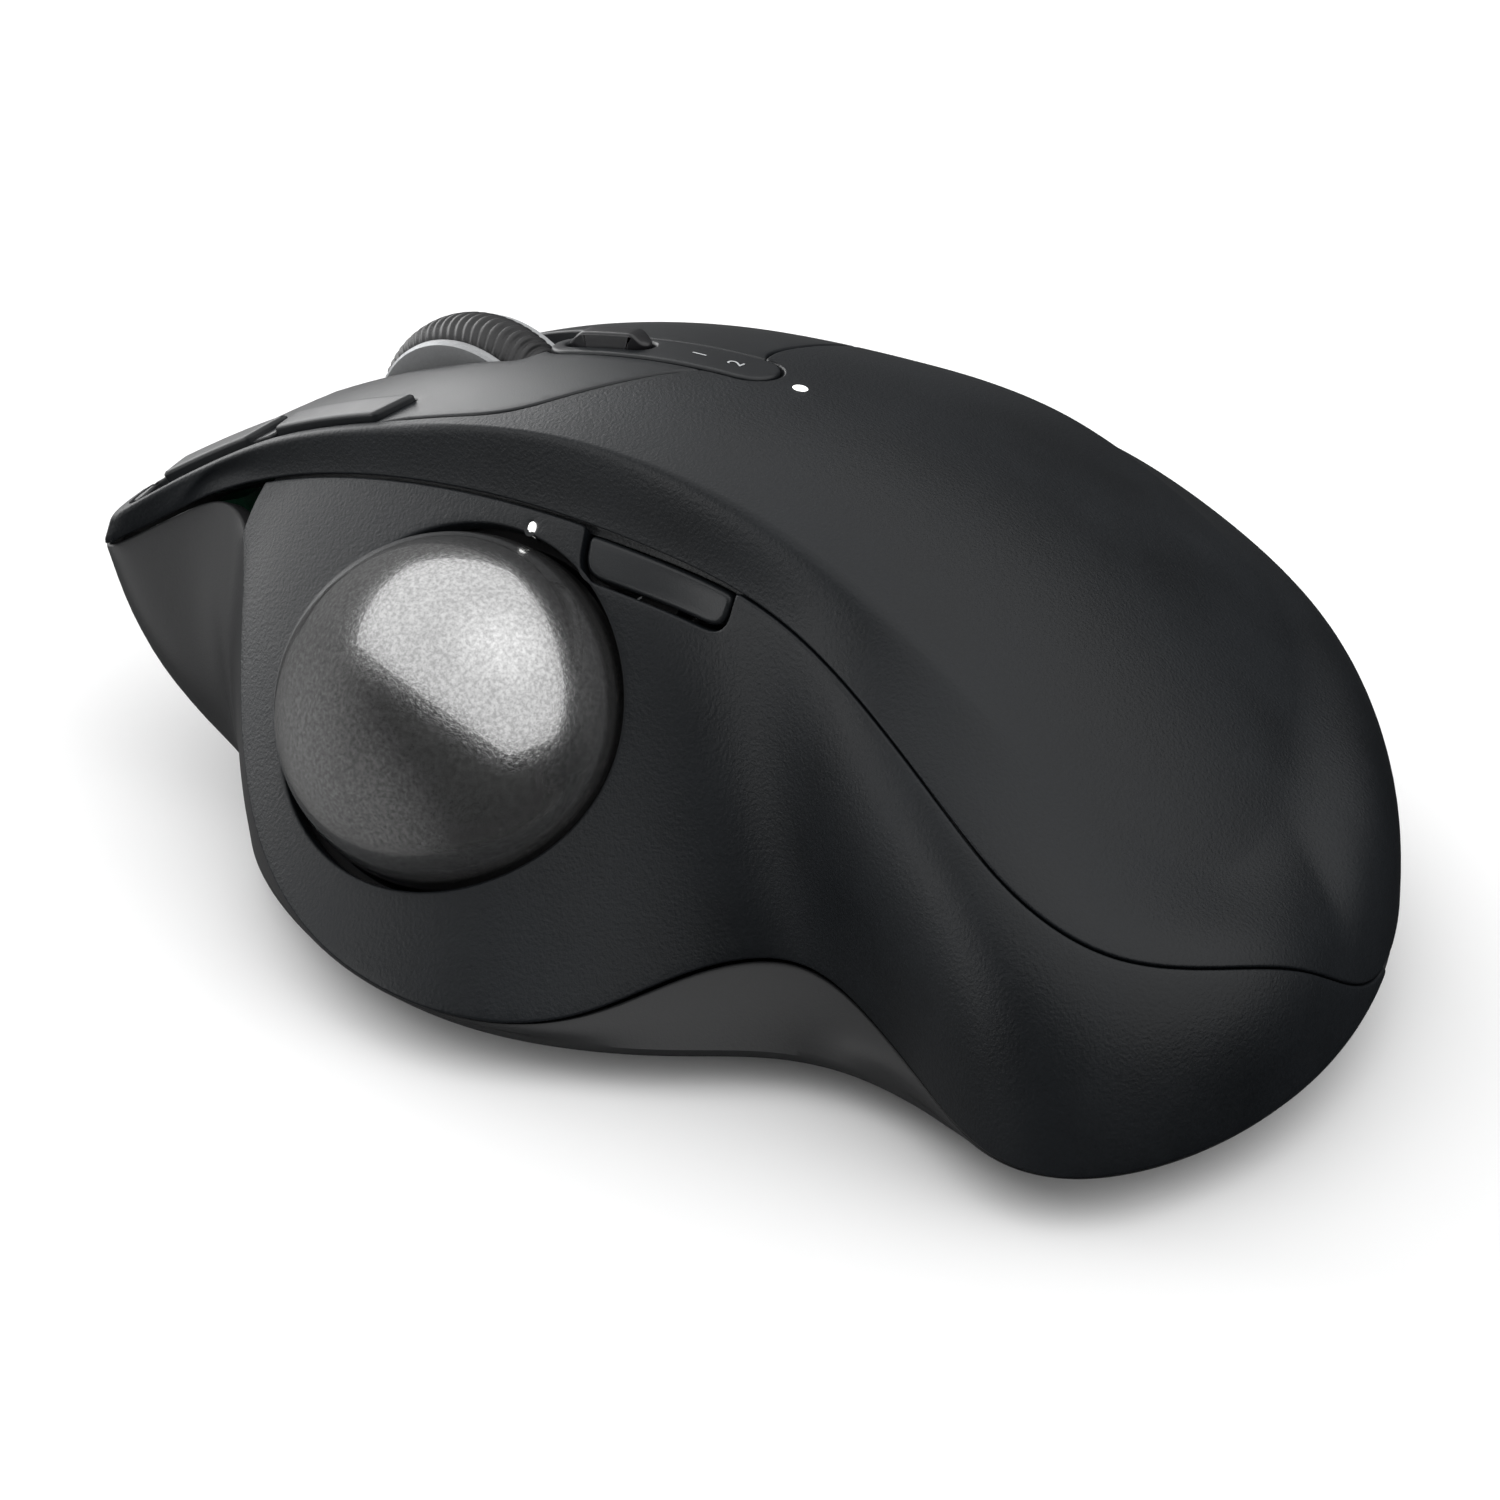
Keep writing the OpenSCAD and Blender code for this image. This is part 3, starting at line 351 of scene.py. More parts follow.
def fill(outline, holes, step, square=None, clear=0.0):
    """Triangles over a flat outline less its holes, with an even grid of points inside.
    The outline's points come first.
    No grid point is nearer to a rim than clear, which leaves room for the rim's fillet."""
    if area(outline) < 0:
        outline = outline[::-1]
    lo, hi = outline.min(0), outline.max(0)
    if square is None:
        rows = np.arange(lo[1], hi[1], step * 0.866)
        grid = np.array([(x + (j % 2) * step / 2, y) for j, y in enumerate(rows)
                         for x in np.arange(lo[0], hi[0], step)])
    else:
        first, last = math.floor((lo[0] - square) / step), math.ceil((hi[0] - square) / step)
        xs = np.arange(first, last) * step + square
        grid = np.array([(x, y) for y in np.arange(lo[1], hi[1], step) for x in xs])
    keep = inside(outline, grid)
    for h in holes:
        keep &= ~inside(h, grid)
    grid = grid[keep]
    rim = np.concatenate([outline] + holes)
    far = np.array([np.min(((rim - g) ** 2).sum(1)) for g in grid]) > max(0.6 * step, clear) ** 2
    grid = grid[far]
    edges, start = [], 0
    for ring in [outline] + holes:
        m = len(ring)
        edges += [(start + i, start + (i + 1) % m) for i in range(m)]
        start += m
    points = np.concatenate([outline] + holes + [grid])
    v, _, f, *_ = delaunay_2d_cdt([Vector(q) for q in points], edges, [], 0, 1e-7)
    v = np.array([tuple(q) for q in v])
    f = np.array([t for t in f if len(t) == 3])
    mid = v[f].mean(1)
    keep = inside(outline, mid)
    for h in holes:
        keep &= ~inside(h, mid)
    f = f[keep]
    a, b, c = v[f[:, 0]], v[f[:, 1]], v[f[:, 2]]
    twice = (b[:, 0] - a[:, 0]) * (c[:, 1] - a[:, 1]) - (b[:, 1] - a[:, 1]) * (c[:, 0] - a[:, 0])
    f[twice < 0] = f[twice < 0][:, ::-1]
    # slivers along a straight rim would take its middle points off the rim
    f = f[np.abs(twice) > 1e-4]
    used = np.unique(f)
    index = np.full(len(v), -1)
    index[used] = np.arange(len(used))
    return v[used], [tuple(int(i) for i in t) for t in index[f]]


# ---------------------------------------------------------------- materials
def nodes_of(name):
    m = bpy.data.materials.new(name)
    m.use_nodes = True
    t = m.node_tree
    return m, t, t.nodes["Principled BSDF"]


def noise(t, scale, detail=3.0, rough=0.55, kind="ShaderNodeTexNoise"):
    co = t.nodes.new("ShaderNodeTexCoord")
    n = t.nodes.new(kind)
    n.inputs["Scale"].default_value = scale
    if "Detail" in n.inputs:
        n.inputs["Detail"].default_value = detail
    if "Roughness" in n.inputs:
        n.inputs["Roughness"].default_value = rough
    t.links.new(co.outputs["Object"], n.inputs["Vector"])
    return n


def ranged(t, source, lo, hi, from_lo=0.3, from_hi=0.7):
    r = t.nodes.new("ShaderNodeMapRange")
    r.inputs["From Min"].default_value = from_lo
    r.inputs["From Max"].default_value = from_hi
    r.inputs["To Min"].default_value = lo
    r.inputs["To Max"].default_value = hi
    t.links.new(source, r.inputs["Value"])
    return r.outputs["Result"]


def blended(t, factor, a, b):
    m = t.nodes.new("ShaderNodeMix")
    m.data_type = "RGBA"
    t.links.new(factor, m.inputs["Factor"])
    m.inputs["A"].default_value = (*a, 1)
    m.inputs["B"].default_value = (*b, 1)
    return m.outputs["Result"]


def surface(name, dark, light, rough, grain=None, bump=0.0, metallic=0.0, coat=0.0, coat_rough=0.05,
            patches=60.0, fine=None, specular=0.5):
    """A moulded, painted or metal surface: two close colours, uneven roughness and a fine grain."""
    m, t, b = nodes_of(name)
    slow = noise(t, patches, 4.0)
    grainy = noise(t, fine or 2600.0, 2.0)
    both = t.nodes.new("ShaderNodeMath")
    both.operation = "MULTIPLY_ADD"
    both.inputs[1].default_value = 0.45
    t.links.new(grainy.outputs["Fac"], both.inputs[0])
    half = ranged(t, slow.outputs["Fac"], 0.0, 0.55, 0.25, 0.75)
    t.links.new(half, both.inputs[2])
    t.links.new(blended(t, ranged(t, both.outputs[0], 0, 1, 0.1, 0.9), dark, light), b.inputs["Base Color"])
    t.links.new(ranged(t, slow.outputs["Fac"], rough[0], rough[1]), b.inputs["Roughness"])
    b.inputs["Metallic"].default_value = metallic
    b.inputs["Coat Weight"].default_value = coat
    b.inputs["Coat Roughness"].default_value = coat_rough
    b.inputs["Specular IOR Level"].default_value = specular
    if grain:
        g = noise(t, grain, 2.5, 0.6)
        bp = t.nodes.new("ShaderNodeBump")
        bp.inputs["Strength"].default_value = bump
        bp.inputs["Distance"].default_value = 0.00006
        t.links.new(g.outputs["Fac"], bp.inputs["Height"])
        t.links.new(bp.outputs["Normal"], b.inputs["Normal"])
    return m


def make_materials():
    made = {}
    made["textured_shell"] = surface("textured_shell", (0.0028, 0.0036, 0.0046), (0.0085, 0.0105, 0.013),
                                     (0.4, 0.48), grain=2900.0, bump=1.0, specular=0.3)
    made["satin_plate"] = surface("satin_plate", (0.006, 0.007, 0.0082), (0.011, 0.0128, 0.015),
                                  (0.36, 0.42), grain=5200.0, bump=0.22, specular=0.4)
    made["lower_plastic"] = surface("lower_plastic", (0.014, 0.0145, 0.0152), (0.02, 0.0205, 0.0216),
                                    (0.46, 0.52), grain=4200.0, bump=0.3, specular=0.4)
    made["tyre_rubber"] = surface("tyre_rubber", (0.008, 0.008, 0.009), (0.017, 0.017, 0.018),
                                  (0.42, 0.52), grain=5000.0, bump=0.35)
    made["base_rubber"] = surface("base_rubber", (0.012, 0.012, 0.013), (0.024, 0.024, 0.025),
                                  (0.6, 0.72), grain=2600.0, bump=0.8)
    made["inner_plastic"] = surface("inner_plastic", (0.012, 0.012, 0.013), (0.022, 0.022, 0.024),
                                    (0.48, 0.58), grain=2400.0, bump=0.3)
    made["switch_plastic"] = surface("switch_plastic", (0.01, 0.01, 0.011), (0.02, 0.02, 0.022),
                                     (0.28, 0.36), grain=2400.0, bump=0.2)
    made["chip"] = surface("chip", (0.006, 0.006, 0.007), (0.014, 0.014, 0.015), (0.4, 0.5),
                           grain=4000.0, bump=0.3)
    made["rim_metal"] = surface("rim_metal", (0.3, 0.305, 0.31), (0.44, 0.45, 0.46), (0.42, 0.52),
                                grain=5200.0, bump=0.7, metallic=0.55)
    made["steel"] = surface("steel", (0.42, 0.43, 0.44), (0.56, 0.57, 0.58), (0.26, 0.36),
                            grain=1400.0, bump=0.15, metallic=1.0)
    made["magnet"] = surface("magnet", (0.6, 0.6, 0.61), (0.7, 0.7, 0.71), (0.12, 0.2),
                             grain=1500.0, bump=0.08, metallic=1.0)
    made["brass"] = surface("brass", (0.56, 0.38, 0.14), (0.7, 0.5, 0.22), (0.24, 0.34),
                            grain=1500.0, bump=0.15, metallic=1.0)
    made["ceramic"] = surface("ceramic", (0.74, 0.72, 0.66), (0.84, 0.82, 0.77), (0.08, 0.14),
                              grain=2000.0, bump=0.04, coat=0.6)
    made["board"] = surface("board", (0.01, 0.055, 0.03), (0.02, 0.09, 0.05), (0.3, 0.4),
                            grain=1600.0, bump=0.25, patches=240.0)
    made["polyimide"] = surface("polyimide", (0.26, 0.12, 0.025), (0.42, 0.2, 0.05), (0.26, 0.34),
                                grain=1600.0, bump=0.12)
    made["battery_wrap"] = surface("battery_wrap", (0.05, 0.1, 0.22), (0.08, 0.15, 0.3), (0.28, 0.38),
                                   grain=700.0, bump=0.2)
    m, t, b = nodes_of("white_lens")
    n = noise(t, 900.0)
    t.links.new(blended(t, n.outputs["Fac"], (0.86, 0.86, 0.84), (0.95, 0.95, 0.94)), b.inputs["Base Color"])
    t.links.new(ranged(t, n.outputs["Fac"], 0.2, 0.32), b.inputs["Roughness"])
    b.inputs["Emission Color"].default_value = (1, 1, 0.98, 1)
    b.inputs["Emission Strength"].default_value = 1.1
    made["white_lens"] = m
    m, t, b = nodes_of("clear_lens")
    n = noise(t, 400.0)
    t.links.new(blended(t, n.outputs["Fac"], (0.8, 0.86, 0.9), (0.9, 0.94, 0.96)), b.inputs["Base Color"])
    t.links.new(ranged(t, n.outputs["Fac"], 0.04, 0.1), b.inputs["Roughness"])
    b.inputs["Transmission Weight"].default_value = 0.9
    made["clear_lens"] = m
    m, t, b = nodes_of("mark_ink")
    n = noise(t, 4000.0)
    t.links.new(blended(t, n.outputs["Fac"], (0.4, 0.41, 0.42), (0.55, 0.56, 0.57)), b.inputs["Base Color"])
    t.links.new(ranged(t, n.outputs["Fac"], 0.4, 0.5), b.inputs["Roughness"])
    made["mark_ink"] = m
    made["ball"] = pearl()
    return made


def pearl():
    """Graphite paint with fine bright flakes under a clear gloss coat."""
    m, t, b = nodes_of("ball")
    flake = noise(t, 3600.0, kind="ShaderNodeTexVoronoi")
    cloud = noise(t, 2600.0, 2.5, 0.7)
    t.links.new(blended(t, ranged(t, cloud.outputs["Fac"], 0, 1, 0.35, 0.65),
                        (0.27, 0.27, 0.27), (0.5, 0.5, 0.5)), b.inputs["Base Color"])
    t.links.new(ranged(t, flake.outputs["Distance"], 0.12, 0.24, 0.0, 0.6), b.inputs["Roughness"])
    b.inputs["Metallic"].default_value = 0.92
    b.inputs["Coat Weight"].default_value = 1.0
    b.inputs["Coat Roughness"].default_value = 0.03
    b.inputs["Coat IOR"].default_value = 1.85
    bp = t.nodes.new("ShaderNodeBump")
    bp.inputs["Strength"].default_value = 0.55
    bp.inputs["Distance"].default_value = 0.00005
    t.links.new(cloud.outputs["Fac"], bp.inputs["Height"])
    t.links.new(bp.outputs["Normal"], b.inputs["Normal"])
    return m


MATERIALS = make_materials()


# ---------------------------------------------------------------- pieces
def piece(name, p, faces, slot, body, replaced=(), material=None, sharp=38):
    me = bpy.data.meshes.new(name)
    me.from_pydata((np.asarray(p) * MM).tolist(), [], faces)
    me.validate()
    me.shade_smooth()
    me.set_sharp_from_angle(angle=math.radians(sharp))
    ob = bpy.data.objects.new(name, me)
    SCENE.collection.objects.link(ob)
    me.materials.append(MATERIALS[material or slot])
    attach(ob, body)
    if replaced:
        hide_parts(*replaced)
    return ob


def to_oval(p, gap):
    """Moves points that are close to the oval panel's rim onto a line that runs gap outside it."""
    axis = OVAL_FRONT - OVAL_REAR
    t = np.clip(((p - OVAL_REAR) @ axis) / (axis @ axis), 0, 1)[..., None]
    near = OVAL_REAR + axis * t
    away = p - near
    d = norm(away)
    want = OVAL_R + gap
    w = smooth(1 - (np.abs(d - want) - 0.5) / 1.4)
    return near + away / np.maximum(d, 1e-6) * mix(d, want, w)


SEAM_END = 16.4
# the tongue's rows: how far past the seam each one runs
TONGUE = (-1.7, -1.2, -0.7, -0.2, 0.2, 0.5)
# gaps round the parts, and the radius of the ridge between the top and the side
ROUND = 0.95
OVAL_GAP = 0.34
SPLIT = 0.32


def palm_edge(k):
    # behind the right button the columns are swung round, so that none runs along the oval's side
    return to_oval(loop(INNER, k - 2.8 * smooth(1 - np.abs(k - 17.8) / 4.8)), OVAL_GAP)


def ridge_curve(k, s, width, reach):
    """A point s mm past the ridge of column k, with the ridge itself rounded within reach."""
    top = lambda d: on_top(mix(loop(RIDGE, k), palm_edge(k), np.clip(-d / width, 0, 1)[..., None]))
    side = lambda d: skin(k, d / upper_len(k))
    t = np.clip((s + reach) / (2 * reach), 0, 1)[..., None]
    bend = (1 - t) ** 2 * top(-reach) + 2 * t * (1 - t) * on_top(loop(RIDGE, k)) + t**2 * side(reach)
    s_, r_ = s[..., None], reach[..., None]
    return np.where(s_ <= -r_, top(s), np.where(s_ >= r_, side(s), bend))


def build_palm():
    cols = 26 * 15
    k = np.linspace(-1.2, 24.8, cols + 1)
    width = norm(loop(RIDGE, k) - palm_edge(k))[:, 0]
    reach = np.minimum(ROUND, 0.42 * width)
    band = upper_len(k) - 0.1
    rows = []
    rows.append(ridge_curve(k, -width, width, reach))
    for u in np.linspace(0, 1, 39):
        rows.append(ridge_curve(k, 0.3 - width + (width - reach - 0.3) * u, width, reach))
    for u in np.linspace(0, 1, 8)[1:-1]:
        rows.append(ridge_curve(k, -reach + 2 * reach * u, width, reach))
    for u in np.linspace(0, 1, 25):
        rows.append(ridge_curve(k, reach + (band - 0.3 - reach) * u, width, reach))
    rows.append(ridge_curve(k, band, width, reach))
    p = np.stack(rows)
    shape = p.shape
    # thinner at the narrow front ends, where a thick wall would come out of the other side
    depth = np.tile(0.7 + 1.5 * smooth(np.minimum(k - 0.4, 25.2 - k) / 3), shape[0])[:, None]
    p, f = shell(p.reshape(-1, 3), grid_faces(shape[0], shape[1]), depth, 0.22)
    piece("palm_cover", p, f, "textured_shell", "body", ["palm_shell"])
    # a tongue behind the seam, so that nothing shows through the gap
    k = np.linspace(2.3, SEAM_END, 400)
    rows = [skin(k, 1 + d / (upper_len(k) if d < 0 else lower_len(k))) for d in TONGUE]
    p, f = np.stack(rows).reshape(-1, 3), grid_faces(len(TONGUE), len(k))
    p, f = shell(p - 1.2 * normals(p, f), f, 0.5, 0.08, steps=2)
    piece("seam_tongue", p, f, "textured_shell", "body", ())


# A flat chart of the lower band: x is the length along it, y the length down from the seam.
BAND_K = np.linspace(1.5, 25.5, 2401)
BAND_STEPS = 0.5 * (np.linalg.norm(np.diff(loop(SEAM, BAND_K), axis=0), axis=1)
                    + np.linalg.norm(np.diff(loop(SKIRT, BAND_K), axis=0), axis=1))
BAND_X = np.concatenate([[0], np.cumsum(BAND_STEPS)])


def chart_x(k):
    return np.interp(k, BAND_K, BAND_X)


def on_side(q):
    k = np.interp(q[..., 0], BAND_X, BAND_K)
    return skin(k, 1 + q[..., 1] / np.maximum(lower_len(k), 1e-6))


def side_ring(centre, ax, ay, outline, start):
    """Chart points whose place, seen along the axis between ax and ay, is each point of the outline."""
    def seen(q):
        d = on_side(q) - centre
        return np.stack([d @ ax, d @ ay], -1)
    q = np.repeat(start[None], len(outline), 0)
    for share in list(np.linspace(0.1, 1, 10)) + [1, 1, 1]:
        h = 0.02
        miss = outline * share - seen(q)
        jx = (seen(q + [h, 0]) - seen(q - [h, 0])) / (2 * h)
        jy = (seen(q + [0, h]) - seen(q - [0, h])) / (2 * h)
        det = jx[:, 0] * jy[:, 1] - jx[:, 1] * jy[:, 0]
        step = np.stack([(miss[:, 0] * jy[:, 1] - miss[:, 1] * jy[:, 0]) / det,
                         (jx[:, 0] * miss[:, 1] - jx[:, 1] * miss[:, 0]) / det], -1)
        q = q + step
    return q


BALL_AXIS = np.array([-math.sin(BALL_LEAN), 0, math.cos(BALL_LEAN)])
BALL_AX = unit(np.cross([0.0, 1.0, 0.0], BALL_AXIS))
BALL_AY = np.cross(BALL_AXIS, BALL_AX)

KEY_K = (6.3, 8.03)
KEY_DEPTH = (5.0, 4.7)


def key_shape(gap):
    """The precision key's opening in the chart, less a gap all round."""
    x0, x1 = chart_x(KEY_K[0]), chart_x(KEY_K[1])
    return [(x0 + gap, 0.1 + gap), (x0 + 0.35 + gap, KEY_DEPTH[0] - gap),
            (x1 - 0.7 - gap, KEY_DEPTH[1] - gap), (x1 - gap, 0.1 + gap)]


def build_side():
    k = np.linspace(2.3, SEAM_END, 500)
    lower = np.stack([chart_x(k), lower_len(k)], -1)
    x0, x1 = chart_x(2.3), chart_x(SEAM_END)
    key = key_shape(0.0)
    notch = rounded([(x0, 0.1), key[0], key[1], key[2], key[3], (x1, 0.1)],
                    [0, 0.25, 2.6, 2.6, 0.25, 0], closed=False)
    outline = resample(np.concatenate([notch, lower[::-1]]), 0.55)
    a = np.linspace(0, 2 * math.pi, 200, endpoint=False)
    ring = RING_R * np.stack([np.cos(a), np.sin(a)], -1)
    look = np.array([(x, y) for x in np.arange(chart_x(3.5), chart_x(7), 1.0) for y in np.arange(6, 34, 1.0)])
    d = on_side(look) - BALL
    start = look[np.argmin((d @ BALL_AX) ** 2 + (d @ BALL_AY) ** 2)]
    hole = side_ring(BALL, BALL_AX, BALL_AY, ring, start)
    if area(hole) > 0:
        hole = hole[::-1]
    led = np.array([chart_x(5.74), 0.04 * lower_len(np.array(5.74))])
    a = np.linspace(0, 2 * math.pi, 24, endpoint=False)
    eye = led + np.stack([0.5 * np.cos(a), 0.62 * np.sin(a)], -1)
    q, f = fill(outline, [hole, eye[::-1]], 1.1)
    p = on_side(q)
    # the chart's y runs down, so its up side faces in
    f = [t[::-1] for t in f]
    if (normals(p, f).mean(0) @ [-1, 0, 0.3]) < 0:
        f = [t[::-1] for t in f]

    def wall(at):
        r = at - BALL
        near = np.abs(np.hypot(r @ BALL_AX, r @ BALL_AY) - RING_R).max() < 0.2
        return np.repeat(BALL_AXIS[None], len(at), 0) if near else None
    p2, f2 = shell(p, f, 2.2, 0.3, wall=wall)
    piece("thumb_cover", p2, f2, "textured_shell", "body", ["side_shell"])
    lens_q, lens_f = fill(resample(eye, 0.3), [], 0.3)
    p3, f3 = shell(on_side(lens_q), lens_f, 1.2, 0.12)
    if (normals(on_side(lens_q), lens_f).mean(0) @ [-1, 0, 0.3]) < 0:
        p3, f3 = shell(on_side(lens_q), [t[::-1] for t in lens_f], 1.2, 0.12)
    piece("precision_light", p3, f3, "white_lens", "body", ["precision_lens"])


def build_precision_key():
    outline = resample(rounded(key_shape(0.52), [0.9, 2.2, 2.2, 0.9]), 0.3)
    q, f = fill(outline, [], 0.6, clear=0.65)
    p = on_side(q)
    if (normals(p, f).mean(0) @ [-1, 0, 0.3]) < 0:
        f = [t[::-1] for t in f]
    p = p - 0.4 * normals(p, f)
    p, f = shell(p, f, 2.4, 0.5, steps=6)
    piece("precision_key_cap", p, f, "satin_plate", "precision_key", ["precision_button"])


# ---- the two main buttons, drawn in plan, with the front lip unrolled past the ridge
LIP_K = np.linspace(24.2, 32.4, 1200)
LIP_XY = loop(RIDGE, LIP_K)
LIP_OUT = plan_normal(RIDGE, LIP_K)
LIP_ROUND = 0.9


def on_plate(q):
    d2 = ((q[:, None, :] - LIP_XY[None]) ** 2).sum(-1)
    i = d2.argmin(1)
    k, out = LIP_K[i], LIP_OUT[i]
    s = ((q - LIP_XY[i]) * out).sum(-1)
    flat = on_top(q)
    r = LIP_ROUND
    start = on_top(q - out * (s + r)[:, None])
    ridge = on_top(q - out * s[:, None])
    length = upper_len(k)
    end = skin(k, r / length)
    past = skin(k, np.clip(s / length, 0, 1))
    t = np.clip((s + r) / (2 * r), 0, 1)[:, None]
    bend = (1 - t) ** 2 * start + 2 * t * (1 - t) * ridge + t**2 * end
    s = s[:, None]
    return np.where(s <= -r, flat, np.where(s >= r, past, bend))


def split_edge(k):
    return loop(INNER, k) - SPLIT * plan_normal(INNER, k)


def oval_distance(p):
    axis = OVAL_FRONT - OVAL_REAR
    t = np.clip(((p - OVAL_REAR) @ axis) / (axis @ axis), 0, 1)[..., None]
    return norm(p - OVAL_REAR - axis * t)[..., 0]


def oval_side(sign, gap, turn, rear):
    """The line beside the oval from its front, turned by an angle past its side, to a distance along it."""
    axis = unit(OVAL_FRONT - OVAL_REAR)
    left = np.array([-axis[1], axis[0]]) * sign
    r = OVAL_R + gap
    arc = [OVAL_FRONT + r * (left * math.cos(a) + axis * math.sin(a)) for a in np.linspace(turn, 0, 12)]
    return arc + [OVAL_FRONT - axis * rear + r * left]


def lip_points(k_from, k_to, share):
    k = np.linspace(k_from, k_to, 40)
    return loop(RIDGE, k) + plan_normal(RIDGE, k) * (upper_len(k) * share)[:, None]


BAR_W = 3.7
BAR_GAP = 0.33
BARS = {"forward": (38.4, 52.4), "back": (54.2, 64.2)}


def bar_x(y):
    return -16.4 - 0.032 * np.maximum(0, np.asarray(y, float) - 53) ** 1.9


def bar_outline(y0, y1, gap):
    """A bar's outline: its rear end is cut at a slant, longer on its inner side."""
    ys = np.linspace(y0 - 0.7, y1, 24)
    inner = [(bar_x(y) + BAR_W + gap, y) for y in ys]
    ys = np.linspace(y1, y0 + 1.5, 24)
    outer = [(bar_x(y) - gap, y) for y in ys]
    inner[0] = (inner[0][0], inner[0][1] - gap)
    inner[-1] = (inner[-1][0], inner[-1][1] + gap)
    outer[0] = (outer[0][0], outer[0][1] + gap)
    outer[-1] = (outer[-1][0], outer[-1][1] - gap * 1.4)
    radii = [0.9 + gap] + [0] * 22 + [1.1 + gap, 1.3 + gap] + [0] * 22 + [1.6 + gap]
    return inner + outer, radii


def build_left():
    k = np.linspace(9.4, 4.2, 300)
    line = split_edge(k)
    line = line[oval_distance(line) > OVAL_R + OVAL_GAP]
    fwd, back = BARS["forward"], BARS["back"]
    gap = BAR_GAP
    notch = [(bar_x(38) - 0.4, fwd[0] + 1.5 - 0.75 * gap), (bar_x(38) + BAR_W + gap, fwd[0] - 0.7 - gap)]
    notch += [(bar_x(y) + BAR_W + gap, y) for y in np.linspace(fwd[0] + 1, fwd[1] - 0.5, 12)]
    notch += [(bar_x(fwd[1]) + BAR_W + gap, fwd[1] + gap), (bar_x(fwd[1]) + 0.5, fwd[1] + gap)]
    notch += [(bar_x(back[0]) + 0.2, back[0] + 1.5 - 0.5 * gap),
              (bar_x(back[0]) + BAR_W + gap, back[0] - 0.7 - gap)]
    notch += [(bar_x(y) + BAR_W + gap, y) for y in np.linspace(back[0] + 1, back[1] - 0.5, 12)]
    notch += [(bar_x(back[1]) + BAR_W + gap, back[1] + gap), (bar_x(back[1]) + 0.4, back[1] + gap + 0.5)]
    notch = rounded(notch, 0.5, closed=False)
    line = line[line[:, 1] < fwd[0] + 0.3]
    tip = split_edge(np.linspace(0.35, -1.2, 20))
    tip = tip[tip[:, 1] > back[1] + 0.5]
    lip = lip_points(30.62, 28.6, 0.94)
    edge = [(-3.8, 54.0), (-3.8, 46.0), (-3.8, 32.0)] + oval_side(1, OVAL_GAP, math.radians(48), 13.2)
    edge = rounded(edge, [0, 0, 1.1] + [0] * 13, closed=False)
    edge = edge[:-1]
    last = np.array(oval_side(1, OVAL_GAP, 0, 20))[-2:]
    near = line[0]
    axis = unit(OVAL_FRONT - OVAL_REAR)
    stop = last[0] + axis * ((near - last[0]) @ axis + 0.15)
    edge = edge[[(q - stop) @ axis > 0 for q in edge]]
    outline = np.concatenate([line, notch, tip, lip, edge, stop[None]])
    outline = resample(outline, 0.42)
    q, f = fill(outline, [], 1.0)
    p, f = shell(on_plate(q), f, 1.9, 0.28)
    piece("left_plate", p, f, "satin_plate", "left_main", ["left_button"])


def build_right():
    k = np.linspace(14.9, 24.83, 500)
    line = split_edge(k)
    far = oval_distance(line) > OVAL_R + OVAL_GAP
    line = line[len(far) - np.argmin(far[::-1]):] if not far.all() else line
    lip = lip_points(25.0, 27.55, 0.9)
    edge = [(7.8, 51.0), (7.8, 44.0), (7.8, 32.4)] + oval_side(-1, OVAL_GAP, math.radians(40), 13.2)
    edge = rounded(edge, [0, 0, 1.1] + [0] * 13, closed=False)
    axis = unit(OVAL_FRONT - OVAL_REAR)
    last = np.array(oval_side(-1, OVAL_GAP, 0, 20))[-2:]
    stop = last[0] + axis * ((line[0] - last[0]) @ axis + 0.15)
    edge = edge[[(q - stop) @ axis > 0 for q in edge]]
    outline = resample(np.concatenate([line, lip, edge, stop[None]]), 0.45)
    q, f = fill(outline, [], 1.1)
    p, f = shell(on_plate(q), f, 1.9, 0.28)
    piece("right_plate", p, f, "satin_plate", "right_main", ["right_button"])


def build_bars():
    for name, (y0, y1) in BARS.items():
        points, radii = bar_outline(y0, y1, 0.0)
        q, f = fill(resample(rounded(points, radii), 0.3), [], 0.6, clear=0.55)
        p, f = shell(on_top(q, 0.85), f, 3.4, 0.42, steps=5)
        piece(name + "_bar", p, f, "satin_plate", name + "_key", [name + "_button"])


def stadium(a, b, r, n=28):
    axis = unit(b - a)
    side = np.array([-axis[1], axis[0]])
    half = [axis * math.cos(t) + side * math.sin(t) for t in np.linspace(-math.pi / 2, math.pi / 2, n)]
    return np.array([b + r * d for d in half] + [a - r * d for d in half])


def digit(text, centre, size):
    """A plain numeral laid on the oval panel."""
    cu = bpy.data.curves.new("digit", "FONT")
    cu.body, cu.size, cu.align_x, cu.align_y = text, size, "CENTER", "CENTER"
    ob = bpy.data.objects.new("digit", cu)
    SCENE.collection.objects.link(ob)
    bpy.context.view_layer.update()
    me = ob.to_mesh()
    co = np.array([v.co[:2] for v in me.vertices])
    faces = [tuple(p.vertices) for p in me.polygons]
    ob.to_mesh_clear()
    bpy.data.objects.remove(ob)
    p = on_top(co + centre, 0.16)
    up = normals(p, faces)
    if up[:, 2].mean() < 0:
        faces = [f[::-1] for f in faces]
    return p, faces


